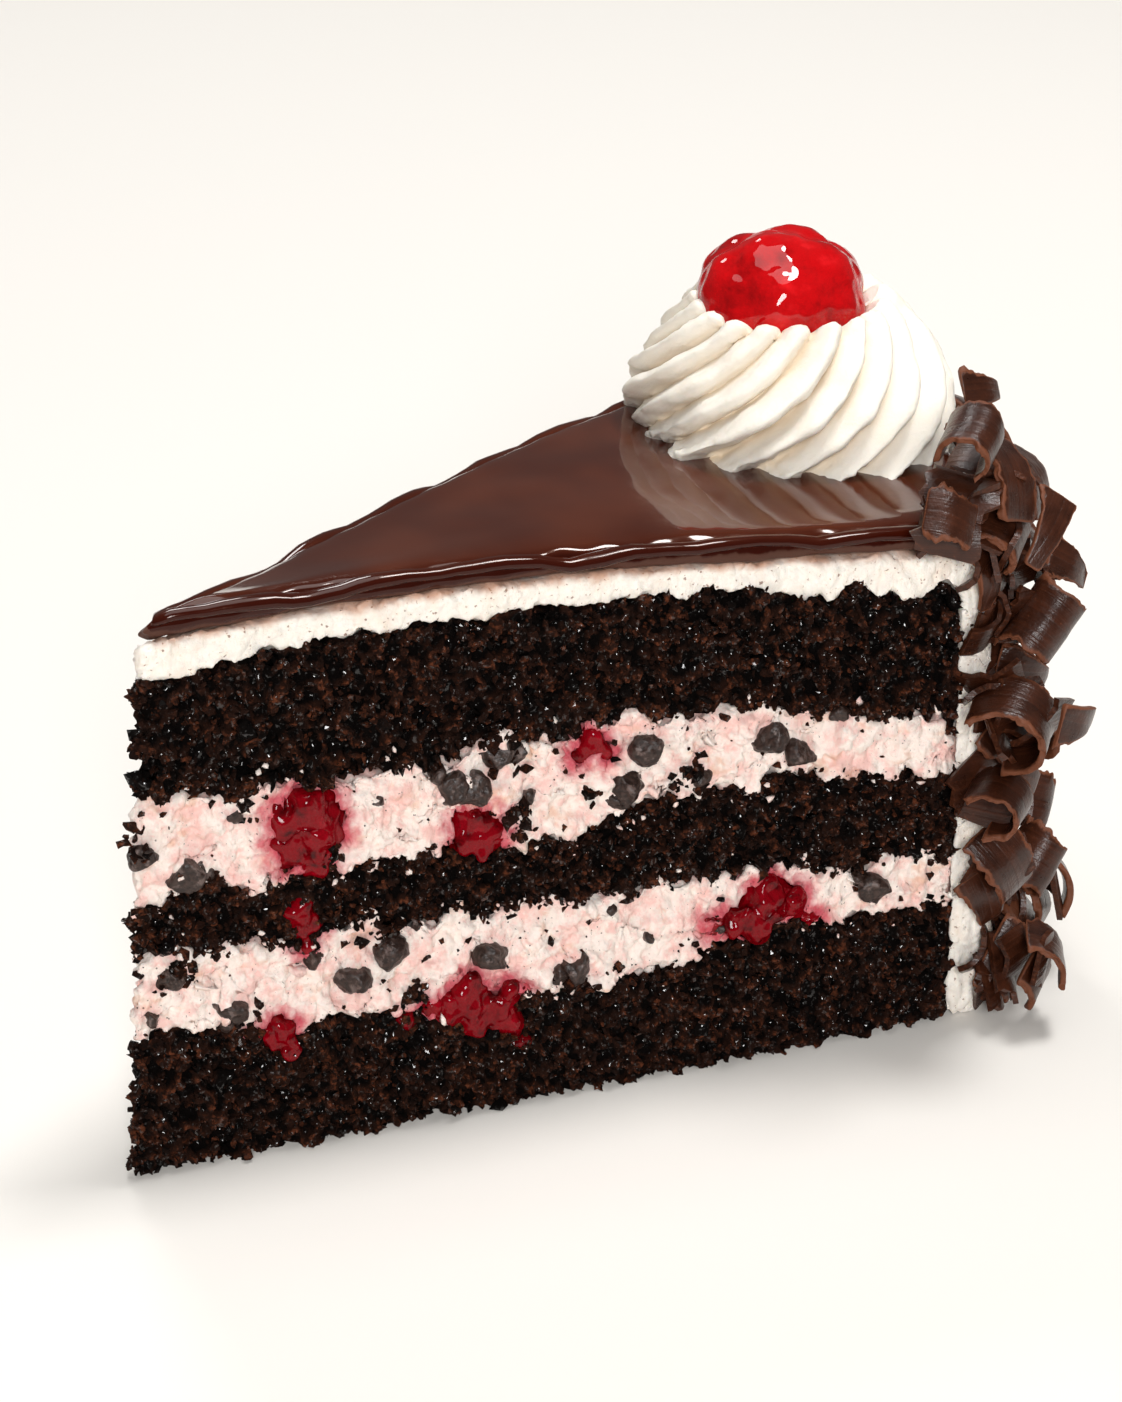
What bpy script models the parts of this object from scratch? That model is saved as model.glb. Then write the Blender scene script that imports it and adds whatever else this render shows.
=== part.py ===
# Black forest cake slice: one twelfth of a 20 cm cake, standing upright.
# Frame: +Z up, +X from the slice's point to its back, the cut face that shows most faces -Y.
# The sizes below are millimetres measured from the point of the slice, at the bottom.

import math
import random

import bmesh
import bpy
from mathutils import Euler, Matrix, Vector, noise
from mathutils.bvhtree import BVHTree

MM = 0.001
GAP = 0.3
SEED = 7

# Where the slice's point stands in the frame, so that the origin is the middle of the base
POINT_X = -65.6
POINT_Y = -3.0

# Plan: a wedge whose back is an arc about a centre a little off the wedge's middle
HALF_WEDGE = math.radians(15.75)
POINT_BLUNT = 2.0
ARC_CENTRE = (77.3, 9.1)
WALL_RADIUS_FOOT = 46.3
WALL_RADIUS_TOP = 42.9
SPONGE_RADIUS_FOOT = 42.3
SPONGE_RADIUS_TOP = 40.6
GLAZE_RADIUS = 39.7
FULL_HEIGHT = 67.0
CUT_LEAN = 1.2

# Height of each layer's top at five stations along the cut, from the point to the back
STATION_STEP = 25.0
LAYER_TOPS = {
    "sponge_bottom": (17.8, 15.5, 13.6, 16.6, 16.3),
    "filling_lower": (27.8, 26.6, 26.3, 25.2, 22.8),
    "sponge_middle": (35.3, 34.3, 35.5, 37.3, 34.8),
    "filling_upper": (46.9, 46.3, 48.1, 47.4, 40.8),
    "sponge_top": (61.5, 63.3, 63.0, 61.2, 57.6),
}
CREAM_TOP = (66.4, 67.0, 66.7, 65.0, 63.3)
FAR_SIDE_DROP = 0.9
COLUMNS_ALONG = 15
COLUMNS_ACROSS = 6
ROWS = {"sponge": 3, "filling": 2}
RELIEF = {"sponge": 0.85, "filling": 0.45, "edge": 0.4}
RELIEF_ALONG, RELIEF_UP, RELIEF_FADE = 13.0, 0.21, 8.5

# Cream coat and glaze
COAT_CORNER = 2.2
COAT_LIP = 1.5
WALL_ROWS = 7
GLAZE_EDGE = ((0.4, 0.15), (0.0, 1.1), (0.55, 2.5), (1.9, 3.2))

# Piped rosette and the cherry pressed into it
ROSETTE_AT = (100.4, 9.1)
ROSETTE_RIDGES = 18
ROSETTE_STEPS = 4
ROSETTE_TWIST = math.radians(68.0)
ROSETTE_DEPTH = 0.15
ROSETTE_WOBBLE = 0.02
ROSETTE_CREST = 1.1
ROSETTE_LEVEL = 9.0
ROSETTE_PROFILE = (
    (18.2, 0.0), (19.6, 2.2), (20.0, 5.2), (19.5, 8.2), (17.9, 11.2), (15.4, 14.0), (13.2, 16.3), (11.7, 17.5),
)
ROSETTE_HOLLOW = ((0.99, 0.2), (0.8, 0.75), (0.45, 1.0))
CHERRY_AT = (99.1, 10.0)
CHERRY_HEIGHT = 17.6
CHERRY_RADIUS = 10.1
CHERRY_HALF_HEIGHT = 8.3
CHERRY_LOBES = 5
CHERRY_SWELL = 0.10

# Cherry pieces in the cut faces: distance along the cut, height, half length, half height, turn in degrees
NEAR_CHERRIES = (
    (23.1, 41.0, 4.4, 4.9, 8.0),
    (42.6, 36.6, 3.3, 2.6, 15.0),
    (56.3, 45.4, 2.5, 1.8, 0.0),
    (77.4, 20.2, 6.4, 3.7, 12.0),
    (43.0, 12.4, 5.4, 2.4, -14.0),
    (18.6, 15.6, 2.8, 2.4, 0.0),
    (22.0, 29.4, 2.3, 1.7, -20.0),
)
FAR_CHERRIES = (
    (31.0, 40.6, 4.6, 4.0, -12.0),
    (66.0, 42.6, 5.2, 3.4, 10.0),
    (48.0, 20.4, 4.8, 3.6, 6.0),
    (88.0, 20.2, 3.6, 3.0, 0.0),
)
CHERRY_PIECE_SINK = 1.3
CHERRY_PIECE_LUMPS = 0.16

# Chocolate chips, fused to the fillings: distance along the cut and height
NEAR_CHIPS = {
    "filling_upper": (
        (9.0, 38.3), (38.2, 42.4), (41.4, 43.2), (39.2, 39.4), (63.5, 44.6), (77.7, 43.4), (81.5, 40.4), (60.4, 39.6),
    ),
    "filling_lower": ((12.7, 20.2), (27.4, 22.6), (32.6, 23.6), (43.7, 22.4), (53.6, 19.0), (69.3, 22.4), (91.5, 18.9)),
}
FAR_CHIPS = 6
CHIP_RADIUS = 1.9
CHIP_SINK = 0.5
CHIP_CLEAR = 2.6

# Chocolate curls on the wall and rim. Each has the direction of its place seen from the arc's centre, its
# height, how far its strip turns, its radius, width and spin, how steeply it stands off the cake, and how far
# its face is turned from the wall's own direction
SHAVING = 0.8
SEGMENT_DEG = 38.0
SHOWN_CURLS = (
    (-54.0, 4.5, 115.0, 3.9, 10.5, 35.0, 5.0, -40.0),
    (-54.5, 4.5, 90.0, 4.6, 6.0, 60.0, 0.0, -15.0),
    (-55.5, 4.5, 120.0, 4.6, 6.0, 80.0, 35.0, 10.0),
    (-39.0, 7.0, 90.0, 5.0, 5.5, 100.0, 0.0, -20.0),
    (-58.0, 17.5, 75.0, 6.0, 7.0, 70.0, 0.0, -35.0),
    (-58.5, 22.5, 110.0, 6.0, 7.0, 62.0, 10.0, -35.0),
    (-62.0, 31.0, 260.0, 3.9, 6.5, 80.0, 20.0, 0.0),
    (-46.5, 17.5, 300.0, 3.3, 7.5, 40.0, 5.0, -45.0),
    (-39.0, 9.5, 100.0, 5.0, 5.5, 110.0, 10.0, 5.0),
    (-36.5, 21.5, 150.0, 3.0, 6.5, 30.0, 0.0, -25.0),
    (-55.0, 37.0, 75.0, 6.5, 6.5, 60.0, 5.0, -25.0),
    (-46.0, 29.0, 60.0, 6.0, 6.0, 30.0, 10.0, -45.0),
    (-61.5, 40.5, 240.0, 5.0, 7.5, 75.0, 25.0, 0.0),
    (-60.5, 44.5, 60.0, 7.0, 5.0, 20.0, 0.0, -15.0),
    (-50.0, 45.0, 80.0, 6.0, 5.0, 20.0, 5.0, -45.0),
    (-34.0, 37.5, 80.0, 5.0, 6.0, 50.0, 5.0, -45.0),
    (-53.0, 52.5, 300.0, 3.6, 9.0, 49.0, 5.0, -40.0),
    (-59.0, 59.0, 50.0, 8.0, 4.6, 95.0, 0.0, -25.0),
    (-41.5, 53.5, 75.0, 6.0, 5.0, 40.0, 15.0, -40.0),
    (-58.0, 64.0, 190.0, 3.7, 7.0, 60.0, 35.0, -20.0),
    (-56.5, 62.0, 60.0, 9.0, 4.5, 130.0, 30.0, -45.0),
    (-39.0, 63.5, 110.0, 6.0, 6.5, 110.0, 40.0, -10.0),
    (-71.0, 70.5, 100.0, 3.6, 6.0, 30.0, 40.0, -30.0),
    (-55.5, 69.0, 110.0, 8.0, 7.0, 120.0, 50.0, -5.0),
    (-48.5, 68.5, 150.0, 4.2, 8.6, 45.0, 50.0, -50.0),
    (-62.5, 76.0, 260.0, 3.6, 7.5, 60.0, 60.0, -20.0),
    (-23.5, 72.5, 60.0, 6.0, 5.0, 15.0, 30.0, -55.0),
)
CLUMP_ROWS = ((13.0, 0.0), (36.0, 0.0), (58.0, 35.0))
CLUMP_COLUMNS = 4
CLUMP_FIRST, CLUMP_LAST = -38.0, 46.0
CLUMP_PLACES = ((0.0, 0.0), (7.0, 7.5), (-7.0, -7.5), (7.0, -7.0), (-7.0, 7.0))
CLUMP_PULLS = (1.0, 0.7, 0.4)
CLUMP_TRIES = 10
CLUMP_TURNS = (80.0, 110.0, 150.0, 190.0, 290.0)
CLUMP_RADIUS = (3.4, 4.6)
CLUMP_WIDTH = (7.5, 10.5)
CLUMP_SPIN = (15.0, 120.0)
CLUMP_LOWEST = 5.0
OPEN_CURL = 1.5
FLOOR_CLEARANCE = 0.6
PUSH, PUSH_STEPS = 0.25, 80
STEEP, RIM_INSET = 45.0, 2.0

# Colours, linear: base colour and roughness
FINISHES = {
    "sponge": ((0.022, 0.009, 0.005), 0.9),
    "filling": ((0.86, 0.56, 0.52), 0.55),
    "cream": ((0.92, 0.84, 0.74), 0.5),
    "glaze": ((0.045, 0.011, 0.005), 0.12),
    "cherry": ((0.55, 0.004, 0.006), 0.08),
    "curl": ((0.060, 0.022, 0.012), 0.35),
}


def finish(name):
    """The material of one finish, made once."""
    known = bpy.data.materials.get(name)
    if known:
        return known
    material = bpy.data.materials.new(name)
    material.use_nodes = True
    shader = material.node_tree.nodes["Principled BSDF"]
    colour, roughness = FINISHES[name]
    shader.inputs["Base Color"].default_value = (*colour, 1.0)
    shader.inputs["Roughness"].default_value = roughness
    return material


def mix(a, b, share):
    return a + (b - a) * share


def add_object(name, points, faces, finish_name, smooth=False):
    """A closed mesh object from points in millimetres, with its faces turned outwards."""
    mesh = bpy.data.meshes.new(name)
    mesh.from_pydata([Vector(point) * MM for point in points], [], faces)
    work = bmesh.new()
    work.from_mesh(mesh)
    bmesh.ops.recalc_face_normals(work, faces=work.faces)
    bmesh.ops.triangulate(work, faces=work.faces)
    work.to_mesh(mesh)
    work.free()
    mesh.materials.append(finish(finish_name))
    if smooth:
        mesh.shade_smooth()
    thing = bpy.data.objects.new(name, mesh)
    bpy.context.collection.objects.link(thing)
    return thing


def remove(thing):
    mesh = thing.data
    bpy.data.objects.remove(thing)
    bpy.data.meshes.remove(mesh)


def block(name, at, counts, finish_name):
    """The skin of a block of cells, where at(i, j, k) gives each grid point."""
    ni, nj, nk = counts
    points, index, faces = [], {}, []

    def corner(i, j, k):
        if (i, j, k) not in index:
            index[i, j, k] = len(points)
            points.append(at(i, j, k))
        return index[i, j, k]

    for i in range(ni):
        for j in range(nj):
            for k, flip in ((0, True), (nk, False)):
                ring = [corner(i, j, k), corner(i + 1, j, k), corner(i + 1, j + 1, k), corner(i, j + 1, k)]
                faces.append(ring[::-1] if flip else ring)
    for i in range(ni):
        for k in range(nk):
            for j, flip in ((0, False), (nj, True)):
                ring = [corner(i, j, k), corner(i + 1, j, k), corner(i + 1, j, k + 1), corner(i, j, k + 1)]
                faces.append(ring[::-1] if flip else ring)
    for j in range(nj):
        for k in range(nk):
            for i, flip in ((0, True), (ni, False)):
                ring = [corner(i, j, k), corner(i, j + 1, k), corner(i, j + 1, k + 1), corner(i, j, k + 1)]
                faces.append(ring[::-1] if flip else ring)
    return add_object(name, points, faces, finish_name)


def loft(name, rings, finish_name, smooth=False):
    """A solid through closed rings with equal numbers of points, its ends filled."""
    count = len(rings[0])
    points = [point for ring in rings for point in ring]
    faces = [list(range(count))[::-1], [len(points) - count + n for n in range(count)]]
    for row in range(len(rings) - 1):
        for n in range(count):
            low, high = row * count, (row + 1) * count
            faces.append([low + n, low + (n + 1) % count, high + (n + 1) % count, high + n])
    return add_object(name, points, faces, finish_name, smooth)


def combine(target, tools, operation):
    """Cuts each tool from the target, or joins it on, and removes the tools."""
    group = bpy.data.collections.new("tools")
    bpy.context.scene.collection.children.link(group)
    for tool in tools:
        group.objects.link(tool)
    boolean = target.modifiers.new("combine", "BOOLEAN")
    boolean.operation = operation
    boolean.operand_type = "COLLECTION"
    boolean.collection = group
    boolean.solver = "EXACT"
    bpy.context.view_layer.objects.active = target
    bpy.ops.object.modifier_apply(modifier=boolean.name)
    for tool in tools:
        remove(tool)
    bpy.data.collections.remove(group)


def point_shift():
    return Vector((POINT_X, POINT_Y, 0.0))


def reach_at(angle, apex, radius):
    """How far the arc lies from the wedge's apex in one direction."""
    dx, dy = apex - ARC_CENTRE[0], -ARC_CENTRE[1]
    along = math.cos(angle) * dx + math.sin(angle) * dy
    return -along + math.sqrt(along**2 - dx**2 - dy**2 + radius**2)


def plan_point(u, v, inset, radius):
    """A point of the wedge's plan: u runs from its point to the arc, v from the near to the far cut."""
    angle = mix(-HALF_WEDGE, HALF_WEDGE, v)
    apex = inset / math.sin(HALF_WEDGE)
    t = mix(POINT_BLUNT, reach_at(angle, apex, radius), u)
    return Vector((apex + t * math.cos(angle), t * math.sin(angle), 0.0))


def along_stations(heights, s):
    """A smooth curve through heights at the stations."""
    place = min(max(s / STATION_STEP, 0.0), len(heights) - 1.001)
    k = int(place)
    t = place - k
    before, after = max(k - 1, 0), min(k + 2, len(heights) - 1)
    a, b, c, d = heights[before], heights[k], heights[k + 1], heights[after]
    return b + 0.5 * t * (c - a + t * (2 * a - 5 * b + 4 * c - d + t * (3 * (b - c) + d - a)))


def height_at(heights, u, v):
    """Height over the plan: the far cut has the same waves from back to point, on the same slope."""
    s = 100.0 * u
    slope = mix(heights[0], heights[-1], u)
    mirrored = along_stations(heights, 100.0 - s) - mix(heights[0], heights[-1], 1.0 - u)
    drop = FAR_SIDE_DROP * v * (1.0 - u) if heights is CREAM_TOP else 0.0
    return mix(along_stations(heights, s), slope + mirrored, v) - drop


def lean(z):
    return CUT_LEAN * z / FULL_HEIGHT


def tapered(foot, top, z):
    return mix(foot, top, z / FULL_HEIGHT)


def relief(point, u, v, z, kind):
    """Moves a point on a cut face in or out, as torn crumb and cream are."""
    if v not in (0.0, 1.0):
        return point
    fade = min(max(u * RELIEF_FADE - 0.2, 0.0), 1.0) * min(max((1.0 - u) * RELIEF_FADE, 0.2), 1.0)
    bump = noise.noise(Vector((u * RELIEF_ALONG, z * RELIEF_UP, 5.0 * v))) * RELIEF[kind] * fade
    side = -1.0 if v == 0.0 else 1.0
    out = Vector((-math.sin(HALF_WEDGE), side * math.cos(HALF_WEDGE), 0.0))
    return point + out * bump


def make_layer(name, bottom_heights, top_heights):
    """One sponge or filling, which meets its neighbours along the same wavy surface, a gap apart."""
    kind = name.split("_")[0]
    rows = ROWS[kind]

    def at(i, j, k):
        u, v = i / COLUMNS_ALONG, j / COLUMNS_ACROSS
        low = height_at(bottom_heights, u, v) if bottom_heights else 0.0
        high = height_at(top_heights, u, v)
        z = mix(low, high, k / rows)
        plan = plan_point(u, v, lean(z), tapered(SPONGE_RADIUS_FOOT, SPONGE_RADIUS_TOP, z))
        inside = 0 < k < rows
        plan = relief(plan, u, v, z, kind if inside else "edge")
        if k == 0:
            z += GAP / 2 if bottom_heights else 0.0
        if k == rows:
            z -= GAP / 2
        return point_shift() + Vector((plan.x, plan.y, z))

    return block(name, at, (COLUMNS_ALONG, COLUMNS_ACROSS, rows), kind)


def make_coat():
    """Cream over the top sponge and down the wall, as one solid with an L-shaped section."""
    corner_steps = 3
    wall_steps = corner_steps + WALL_ROWS
    lip_columns = 2
    sponge_top = LAYER_TOPS["sponge_top"]

    def at(i, j, k):
        v = j / COLUMNS_ACROSS
        beyond = i - COLUMNS_ALONG
        corner_radius = tapered(WALL_RADIUS_FOOT, WALL_RADIUS_TOP, height_at(CREAM_TOP, 1.0, v))
        if k == 0:
            u = min(i / COLUMNS_ALONG, 1.0)
            z = height_at(sponge_top, u, v)
            gap = GAP / 2
            if beyond > 0:
                z = z * (1.0 - beyond / wall_steps)
                gap = GAP / 2 * (1.0 - beyond / wall_steps)
            radius = tapered(SPONGE_RADIUS_FOOT, SPONGE_RADIUS_TOP, z) + GAP * min(max(i - COLUMNS_ALONG + 1, 0), 1)
            plan = relief(plan_point(u, v, lean(z), radius), u, v, z, "edge")
            return point_shift() + Vector((plan.x, plan.y, z + gap))
        lip = COAT_LIP if i > COLUMNS_ALONG - lip_columns else 0.0
        if beyond <= 0:
            first_lip = COLUMNS_ALONG - lip_columns
            inner_share = min(i / first_lip, 1.0)
            z = height_at(CREAM_TOP, inner_share, v)
            radius = GLAZE_RADIUS
            if i > first_lip:
                step = (i - first_lip) / lip_columns
                radius = mix(GLAZE_RADIUS + 0.5, corner_radius - COAT_CORNER, (step - 0.5) * 2.0)
            plan = plan_point(inner_share, v, lean(z), radius)
            plan = relief(plan, inner_share, v, z, "edge")
            return point_shift() + Vector((plan.x, plan.y, z + lip))
        top = height_at(CREAM_TOP, 1.0, v) + COAT_LIP
        if beyond <= corner_steps:
            turn = math.pi / 2 * beyond / corner_steps
            z = top - COAT_CORNER * (1.0 - math.cos(turn))
            radius = corner_radius - COAT_CORNER * (1.0 - math.sin(turn))
        else:
            z = (top - COAT_CORNER) * (1.0 - (beyond - corner_steps) / WALL_ROWS)
            radius = tapered(WALL_RADIUS_FOOT, WALL_RADIUS_TOP, z)
        plan = relief(plan_point(1.0, v, lean(z), radius), 1.0, v, z, "edge")
        return point_shift() + Vector((plan.x, plan.y, z))

    return block("cream_coat", at, (COLUMNS_ALONG + wall_steps, COLUMNS_ACROSS, 1), "cream")


def glaze_top(u, v):
    return height_at(CREAM_TOP, u, v) + GAP + GLAZE_EDGE[-1][1]


def make_glaze():
    """Poured chocolate on the top, its rim rounded."""

    def at(i, j, k):
        u, v = i / COLUMNS_ALONG, j / COLUMNS_ACROSS
        inset, rise = GLAZE_EDGE[k]
        z = height_at(CREAM_TOP, u, v)
        plan = plan_point(u, v, lean(z) + inset, GLAZE_RADIUS - GAP - inset)
        return point_shift() + Vector((plan.x, plan.y, z + GAP / 2 + rise))

    return block("glaze", at, (COLUMNS_ALONG, COLUMNS_ACROSS, len(GLAZE_EDGE) - 1), "glaze")


def top_under(x, y):
    """Height of the glaze's top under a point of the plan."""
    apex = lean(FULL_HEIGHT) / math.sin(HALF_WEDGE)
    angle = math.atan2(y, x - apex)
    reach = reach_at(angle, apex, GLAZE_RADIUS)
    u = (math.hypot(x - apex, y) - POINT_BLUNT) / (reach - POINT_BLUNT)
    v = 0.5 + 0.5 * angle / HALF_WEDGE
    return glaze_top(min(u, 1.0), min(max(v, 0.0), 1.0))


def make_rosette():
    """A ridged dome piped round with a star nozzle, with a hollow pressed in for the cherry."""
    count = ROSETTE_RIDGES * ROSETTE_STEPS
    middle = top_under(*ROSETTE_AT)
    rings = []
    for radius, rise in ROSETTE_PROFILE:
        ring = []
        for n in range(count):
            angle = 2 * math.pi * n / count + ROSETTE_TWIST * rise / ROSETTE_PROFILE[-1][1]
            ridge = abs(math.sin(math.pi * n / ROSETTE_STEPS))
            wobble = 1.0 + ROSETTE_WOBBLE * noise.noise(Vector((3 * math.cos(angle), 3 * math.sin(angle), rise * 0.1)))
            depth = ROSETTE_DEPTH * min(0.75 + rise / 20.0, 1.0) * (0.5 if radius < 12.0 else 1.0)
            reach = radius * wobble * (1.0 - depth * (1.0 - ridge))
            x = ROSETTE_AT[0] + reach * math.cos(angle)
            y = ROSETTE_AT[1] + reach * math.sin(angle)
            crest = 0.0 if rise == 0.0 else ROSETTE_CREST * (ridge - 0.6) * (rise / ROSETTE_PROFILE[-1][1]) ** 3
            foot = mix(top_under(x, y), middle, min(rise / ROSETTE_LEVEL, 1.0)) + GAP
            ring.append(point_shift() + Vector((x, y, foot + rise + crest)))
        rings.append(ring)
    for width_share, depth_share in ROSETTE_HOLLOW:
        ring = []
        for n in range(count):
            angle = 2 * math.pi * n / count + ROSETTE_TWIST
            reach = (CHERRY_RADIUS + 2 * GAP) * width_share
            drop = (CHERRY_HALF_HEIGHT + 2 * GAP) * depth_share
            x = CHERRY_AT[0] + reach * math.cos(angle)
            y = CHERRY_AT[1] + reach * math.sin(angle)
            ring.append(point_shift() + Vector((x, y, middle + CHERRY_HEIGHT - drop)))
        rings.append(ring)
    return loft("rosette", rings, "cream", smooth=True)


def make_cherry():
    """A candied cherry, a little flat, its top folded into lobes."""
    sides, levels = 18, 8
    middle = top_under(*ROSETTE_AT)
    rings = []
    for level in range(levels + 1):
        fall = math.pi * mix(0.04, 0.96, level / levels)
        upper = max(math.cos(fall), 0.0)
        ring = []
        for n in range(sides):
            angle = 2 * math.pi * n / sides
            lobe = abs(math.cos(CHERRY_LOBES / 2 * angle + 0.6)) - 0.6
            swell = 1.0 + CHERRY_SWELL * lobe * math.sin(math.pi * upper)
            reach = CHERRY_RADIUS * math.sin(fall) * swell
            x = CHERRY_AT[0] + reach * math.cos(angle)
            y = CHERRY_AT[1] + reach * math.sin(angle)
            z = middle + CHERRY_HEIGHT + CHERRY_HALF_HEIGHT * math.cos(fall) * swell
            ring.append(point_shift() + Vector((x, y, z)))
        rings.append(ring)
    return loft("cherry", rings[::-1], "cherry", smooth=True)


def on_cut(s, z, side, sink):
    """A point on a cut face, side -1 near and +1 far, sunk into the cake."""
    angle = side * HALF_WEDGE
    inward = Vector((math.sin(HALF_WEDGE), -side * math.cos(HALF_WEDGE), 0.0))
    spot = Vector((s * math.cos(angle), s * math.sin(angle), z)) + inward * (sink + lean(z))
    return point_shift() + spot


def cherry_piece(name, row, side, grown):
    """A lump of cherry in a cut face. Grown by the gap it is the hollow that the lump sits in."""
    s, z, half_length, half_height, turn = row
    centre = on_cut(s, z, side, CHERRY_PIECE_SINK)
    frame = Matrix.Rotation(side * HALF_WEDGE, 4, "Z") @ Matrix.Rotation(math.radians(-turn), 4, "Y")
    half_depth = 0.55 * min(half_length, 1.3 * half_height) + 0.8
    sizes = (half_length + grown, half_depth + grown, half_height + grown)
    levels, sides = 4, 8
    rings = []
    for level in range(levels + 1):
        fall = math.pi * mix(0.1, 0.9, level / levels)
        ring = []
        for n in range(sides):
            angle = 2 * math.pi * n / sides
            unit = Vector((math.sin(fall) * math.cos(angle), math.sin(fall) * math.sin(angle), math.cos(fall)))
            lump = 1.0 + CHERRY_PIECE_LUMPS * noise.noise(unit * 1.7 + Vector((s, z, 0.0)))
            ring.append(centre + frame @ Vector([u * h * lump for u, h in zip(unit, sizes)]))
        rings.append(ring)
    return loft(name, rings[::-1], "cherry", smooth=True)


def chip(centre, draw):
    """One rough chocolate chip."""
    work = bmesh.new()
    bmesh.ops.create_icosphere(work, subdivisions=1, radius=CHIP_RADIUS)
    turn = Euler([draw.uniform(0.0, math.pi) for _ in range(3)]).to_matrix()
    squeeze = Matrix.Diagonal((draw.uniform(0.85, 1.15), draw.uniform(0.7, 0.9), draw.uniform(0.85, 1.1)))
    points = [centre + turn @ squeeze @ vert.co for vert in work.verts]
    faces = [[vert.index for vert in face.verts] for face in work.faces]
    work.free()
    return add_object("chip", points, faces, "curl")


def far_chips(layer_bottom, layer_top, draw):
    """Places for chips on the far cut, one in each equal stretch."""
    spots = []
    for n in range(FAR_CHIPS):
        u = (n + 0.5 + draw.uniform(-0.3, 0.3)) / FAR_CHIPS * 0.86 + 0.08
        low, high = height_at(layer_bottom, u, 1.0), height_at(layer_top, u, 1.0)
        spots.append((100.0 * u, mix(low, high, draw.uniform(0.35, 0.65))))
    return spots


def clear_of_cherries(spot, rows):
    s, z = spot
    return all(abs(s - row[0]) > row[2] + CHIP_CLEAR or abs(z - row[1]) > row[3] + CHIP_CLEAR for row in rows)


def fuse_chips(layer, layer_bottom, layer_top, draw):
    """Joins the chips of both cut faces on to one filling."""
    chips = []
    near = [(s, z, -1) for s, z in NEAR_CHIPS[layer.name] if clear_of_cherries((s, z), NEAR_CHERRIES)]
    far = far_chips(layer_bottom, layer_top, draw)
    far = [(s, z, 1) for s, z in far if clear_of_cherries((s, z), FAR_CHERRIES)]
    for s, z, side in near + far:
        v = 0.0 if side < 0 else 1.0
        margin = CHIP_RADIUS * 1.2 + GAP
        low = height_at(layer_bottom, s / 100.0, v) + margin
        high = height_at(layer_top, s / 100.0, v) - margin
        chips.append(chip(on_cut(s, min(max(z, low), high), side, CHIP_SINK), draw))
    combine(layer, chips, "UNION")


def strip(turn_deg, radius, width, grown, draw_seed):
    """A curled shaving about its own middle: its axis is local Z and its hollow side faces local -X."""
    draw = random.Random(draw_seed)
    turn = math.radians(turn_deg)
    half_thick = SHAVING / 2 + grown
    point_end = 0.45 if turn_deg < 90.0 else 0.85
    slant = draw.uniform(-1.4, 1.4)
    segments = max(3, round(turn_deg / SEGMENT_DEG))
    path = []
    for n in range(segments + 1):
        share = n / segments
        angle = turn * (share - 0.5)
        tightness = 1.0 - (0.34 * share if turn_deg > 250.0 else 0.0)
        path.append((share, angle, radius * tightness))
    middle_x = sum(r * math.cos(a) for _, a, r in path) / len(path)
    middle_y = sum(r * math.sin(a) for _, a, r in path) / len(path)
    rings = []
    for share, angle, r in path:
        half_width = width / 2 * mix(1.0, point_end, share) * (1.0 + draw.uniform(-0.08, 0.08)) + grown
        shift = slant * (share - 0.5)
        spread = grown if 0.0 < share < 1.0 else grown * 2.0
        swing = angle + (spread - grown) / radius * (1.0 if share > 0.5 else -1.0)
        ring = []
        for reach, z in ((-1, -1), (1, -1), (1, 1), (-1, 1)):
            x = (r + reach * half_thick) * math.cos(swing) - middle_x
            y = (r + reach * half_thick) * math.sin(swing) - middle_y
            ring.append(Vector((x, y, z * half_width + shift)))
        rings.append(ring)
    return rings


def stand(rings, spot, outward, spin_deg):
    """Moves a shaving's rings to a spot, its round side facing outward and its axis turned by the spin."""
    up = Vector((0.0, 0.0, 1.0))
    across = up.cross(outward).normalized()
    upright = outward.cross(across).normalized()
    spin = math.radians(spin_deg)
    axis = upright * math.cos(spin) + across * math.sin(spin)
    side = axis.cross(outward)
    return [[spot + outward * p.x + side * p.y + axis * p.z for p in ring] for ring in rings]


def tree_of(thing):
    mesh = thing.data
    return BVHTree.FromPolygons([v.co / MM for v in mesh.vertices], [p.vertices[:] for p in mesh.polygons])


def tree_of_rings(rings):
    count = len(rings[0])
    points = [point for ring in rings for point in ring]
    faces = [list(range(count)), [len(points) - count + n for n in range(count)]]
    for row in range(len(rings) - 1):
        for n in range(count):
            low, high = row * count, (row + 1) * count
            faces.append([low + n, low + (n + 1) % count, high + (n + 1) % count, high + n])
    return BVHTree.FromPolygons(points, faces)


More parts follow.
